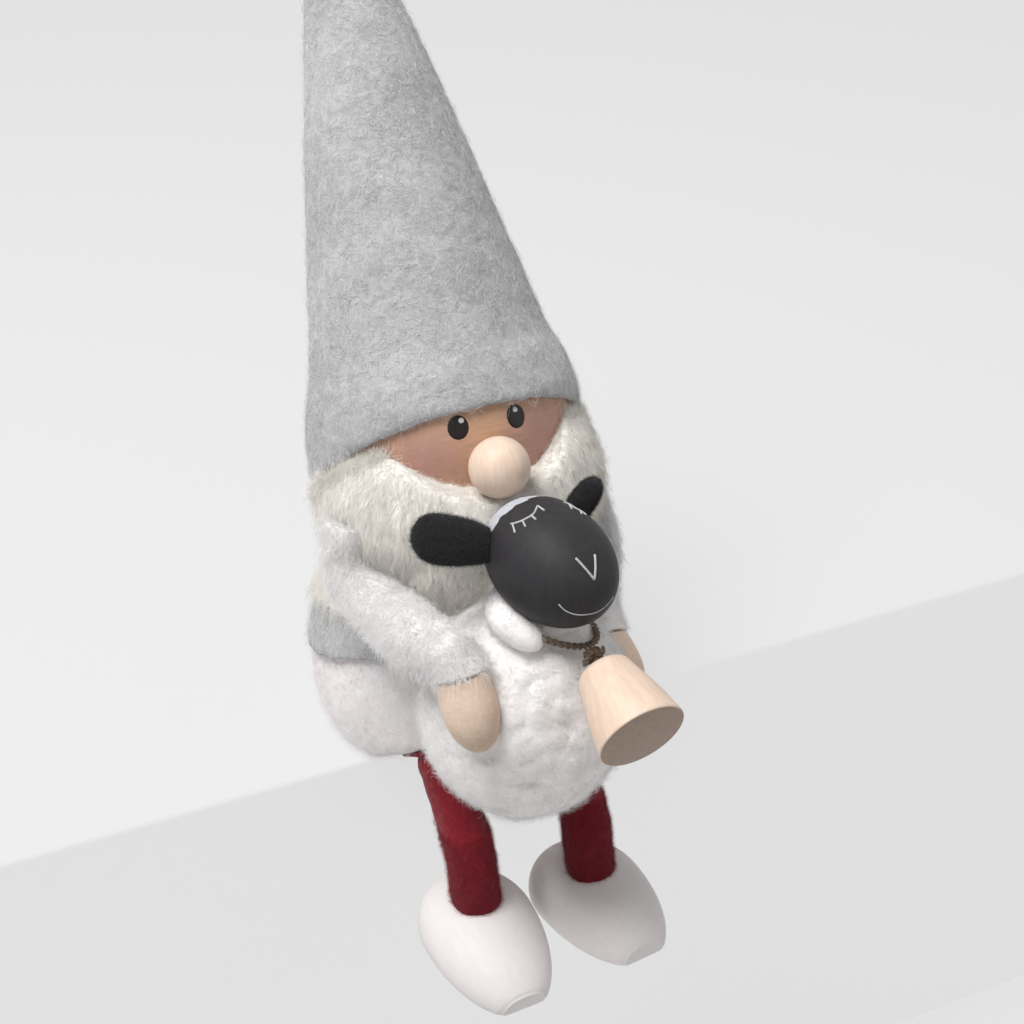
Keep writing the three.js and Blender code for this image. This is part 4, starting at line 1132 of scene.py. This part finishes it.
class GNOME_OT_shoes(PieceOperator, bpy.types.Operator):
    """Make the white painted shoes with their flat toes"""
    bl_idname = "gnome.shoes"
    bl_label = "Shoes"

    def make(self):
        for side, angles in SHOES.items():
            base = tint("white_paint")
            turn = (math.radians(90), 0, math.radians(angles["turn"]))
            paint = finish(f"{side} shoe paint", paint_effect(), shade(base, 0.95), shade(base, 1.03), 1.0, turn,
                           bump=0.12, depth=0.1 * MM, roughness=0.6, specular=0.25)
            piece(f"{side}_shoe_body", *self.half_egg(side, facing(**angles)), paint, f"{side}_leg", "white_paint",
                  [f"{side}_shoe"])

    def half_egg(self, side, axis):
        """The upper half of an egg along an axis, on a flat sole with a round edge, its toe cut flat."""
        across = unit(np.cross(UP, axis))
        over = np.cross(axis, across)
        points = corners(f"{side}_shoe")
        along, aside, height = points @ axis, points @ across, points @ over
        low, sole = along.min(), height.min()
        total = along.max() - low
        spine = (aside.max() + aside.min()) / 2
        widest = (aside.max() - aside.min()) / 2
        toe = np.abs(aside - spine)[along > along.max() - 0.02 * MM].max()
        heel = np.abs(aside - spine)[along < low + 0.02 * MM].max()
        peak = along[np.abs(aside - spine) > widest - 0.02 * MM].mean() - low
        edge, corner = 0.7 * MM, 0.45 * MM
        outline = [(d, r) for d, r in egg_outline(total, widest, peak, heel, toe) if d < total - corner]
        outline += [(total - corner * (1 - math.sin(a)), toe - corner * (1 - math.cos(a)))
                    for a in np.linspace(0.3, math.pi / 2, 6)]
        angles = 2 * np.pi * np.arange(120) / 120
        shape = np.where(np.sin(angles) > 0, 0, -edge * (1 - np.abs(np.cos(angles)) ** 8) ** 0.125)
        rings = []
        for distance, radius in outline:
            upper = np.maximum(np.sin(angles), 0) * SHOE_FLATNESS * radius
            rings.append((low + distance) * axis + (spine + radius * np.cos(angles))[:, None] * across
                         + (sole + edge + shape + upper)[:, None] * over)
        middle_of_toe = rings[-1].mean(axis=0)
        rings += [middle_of_toe + share * (rings[-1] - middle_of_toe) for share in (0.93, 0.5, 0.04)]
        return lofted(rings)


class GNOME_OT_inside(PieceOperator, bpy.types.Operator):
    """Give the pieces inside the figure their wood, wadding and wire"""
    bl_idname = "gnome.inside"
    bl_label = "Inside"

    def make(self):
        bare = wood("core wood", tint("core_wood"))
        wadding = wool("wadding", tint("fleece"))
        wire = finish("arm wire", paint_effect(), tint("steel", 0.8), tint("steel"),
                      bump=0.05, roughness=0.35, metallic=1.0)
        looks = {
            "body_core": bare, "neck_dowel": bare, "nose_peg": bare, "sheep_core": bare,
            "sheep_neck_dowel": bare, "hat_filling": wadding, "right_arm_wire": wire, "left_arm_wire": wire,
        }
        for node, material in looks.items():
            slots = frame["nodes"][node].material_slots
            for slot in slots:
                slot.link = "OBJECT"
                slot.material = material


OPERATORS = (
    GNOME_OT_stage, GNOME_OT_hat, GNOME_OT_face, GNOME_OT_beard, GNOME_OT_tunic, GNOME_OT_seat, GNOME_OT_arms,
    GNOME_OT_sheep_body, GNOME_OT_sheep_head, GNOME_OT_collar, GNOME_OT_bell, GNOME_OT_legs, GNOME_OT_shoes,
    GNOME_OT_inside,
)


class GNOME_PT_panel(bpy.types.Panel):
    """Lists the figure's sizes, colours and pieces"""
    bl_idname = "GNOME_PT_panel"
    bl_label = "Seated gnome"
    bl_space_type = "VIEW_3D"
    bl_region_type = "UI"
    bl_category = "Gnome"

    def draw(self, context):
        for group in (context.scene.gnome_sizes, context.scene.gnome_colours):
            box = self.layout.box()
            for name in group.bl_rna.properties.keys():
                if name not in ("rna_type", "name"):
                    box.prop(group, name)
        for operator in OPERATORS:
            self.layout.operator(operator.bl_idname)


CLASSES = (GnomeSizes, GnomeColours, *OPERATORS, GNOME_PT_panel)


def register():
    for cls in CLASSES:
        bpy.utils.register_class(cls)
    bpy.types.Scene.gnome_sizes = PointerProperty(type=GnomeSizes)
    bpy.types.Scene.gnome_colours = PointerProperty(type=GnomeColours)


def unregister():
    del bpy.types.Scene.gnome_colours
    del bpy.types.Scene.gnome_sizes
    for cls in reversed(CLASSES):
        bpy.utils.unregister_class(cls)


def main():
    """Make every piece in order."""
    register()
    for operator in OPERATORS:
        group, name = operator.bl_idname.split(".")
        getattr(getattr(bpy.ops, group), name)()


if __name__ == "__main__":
    main()
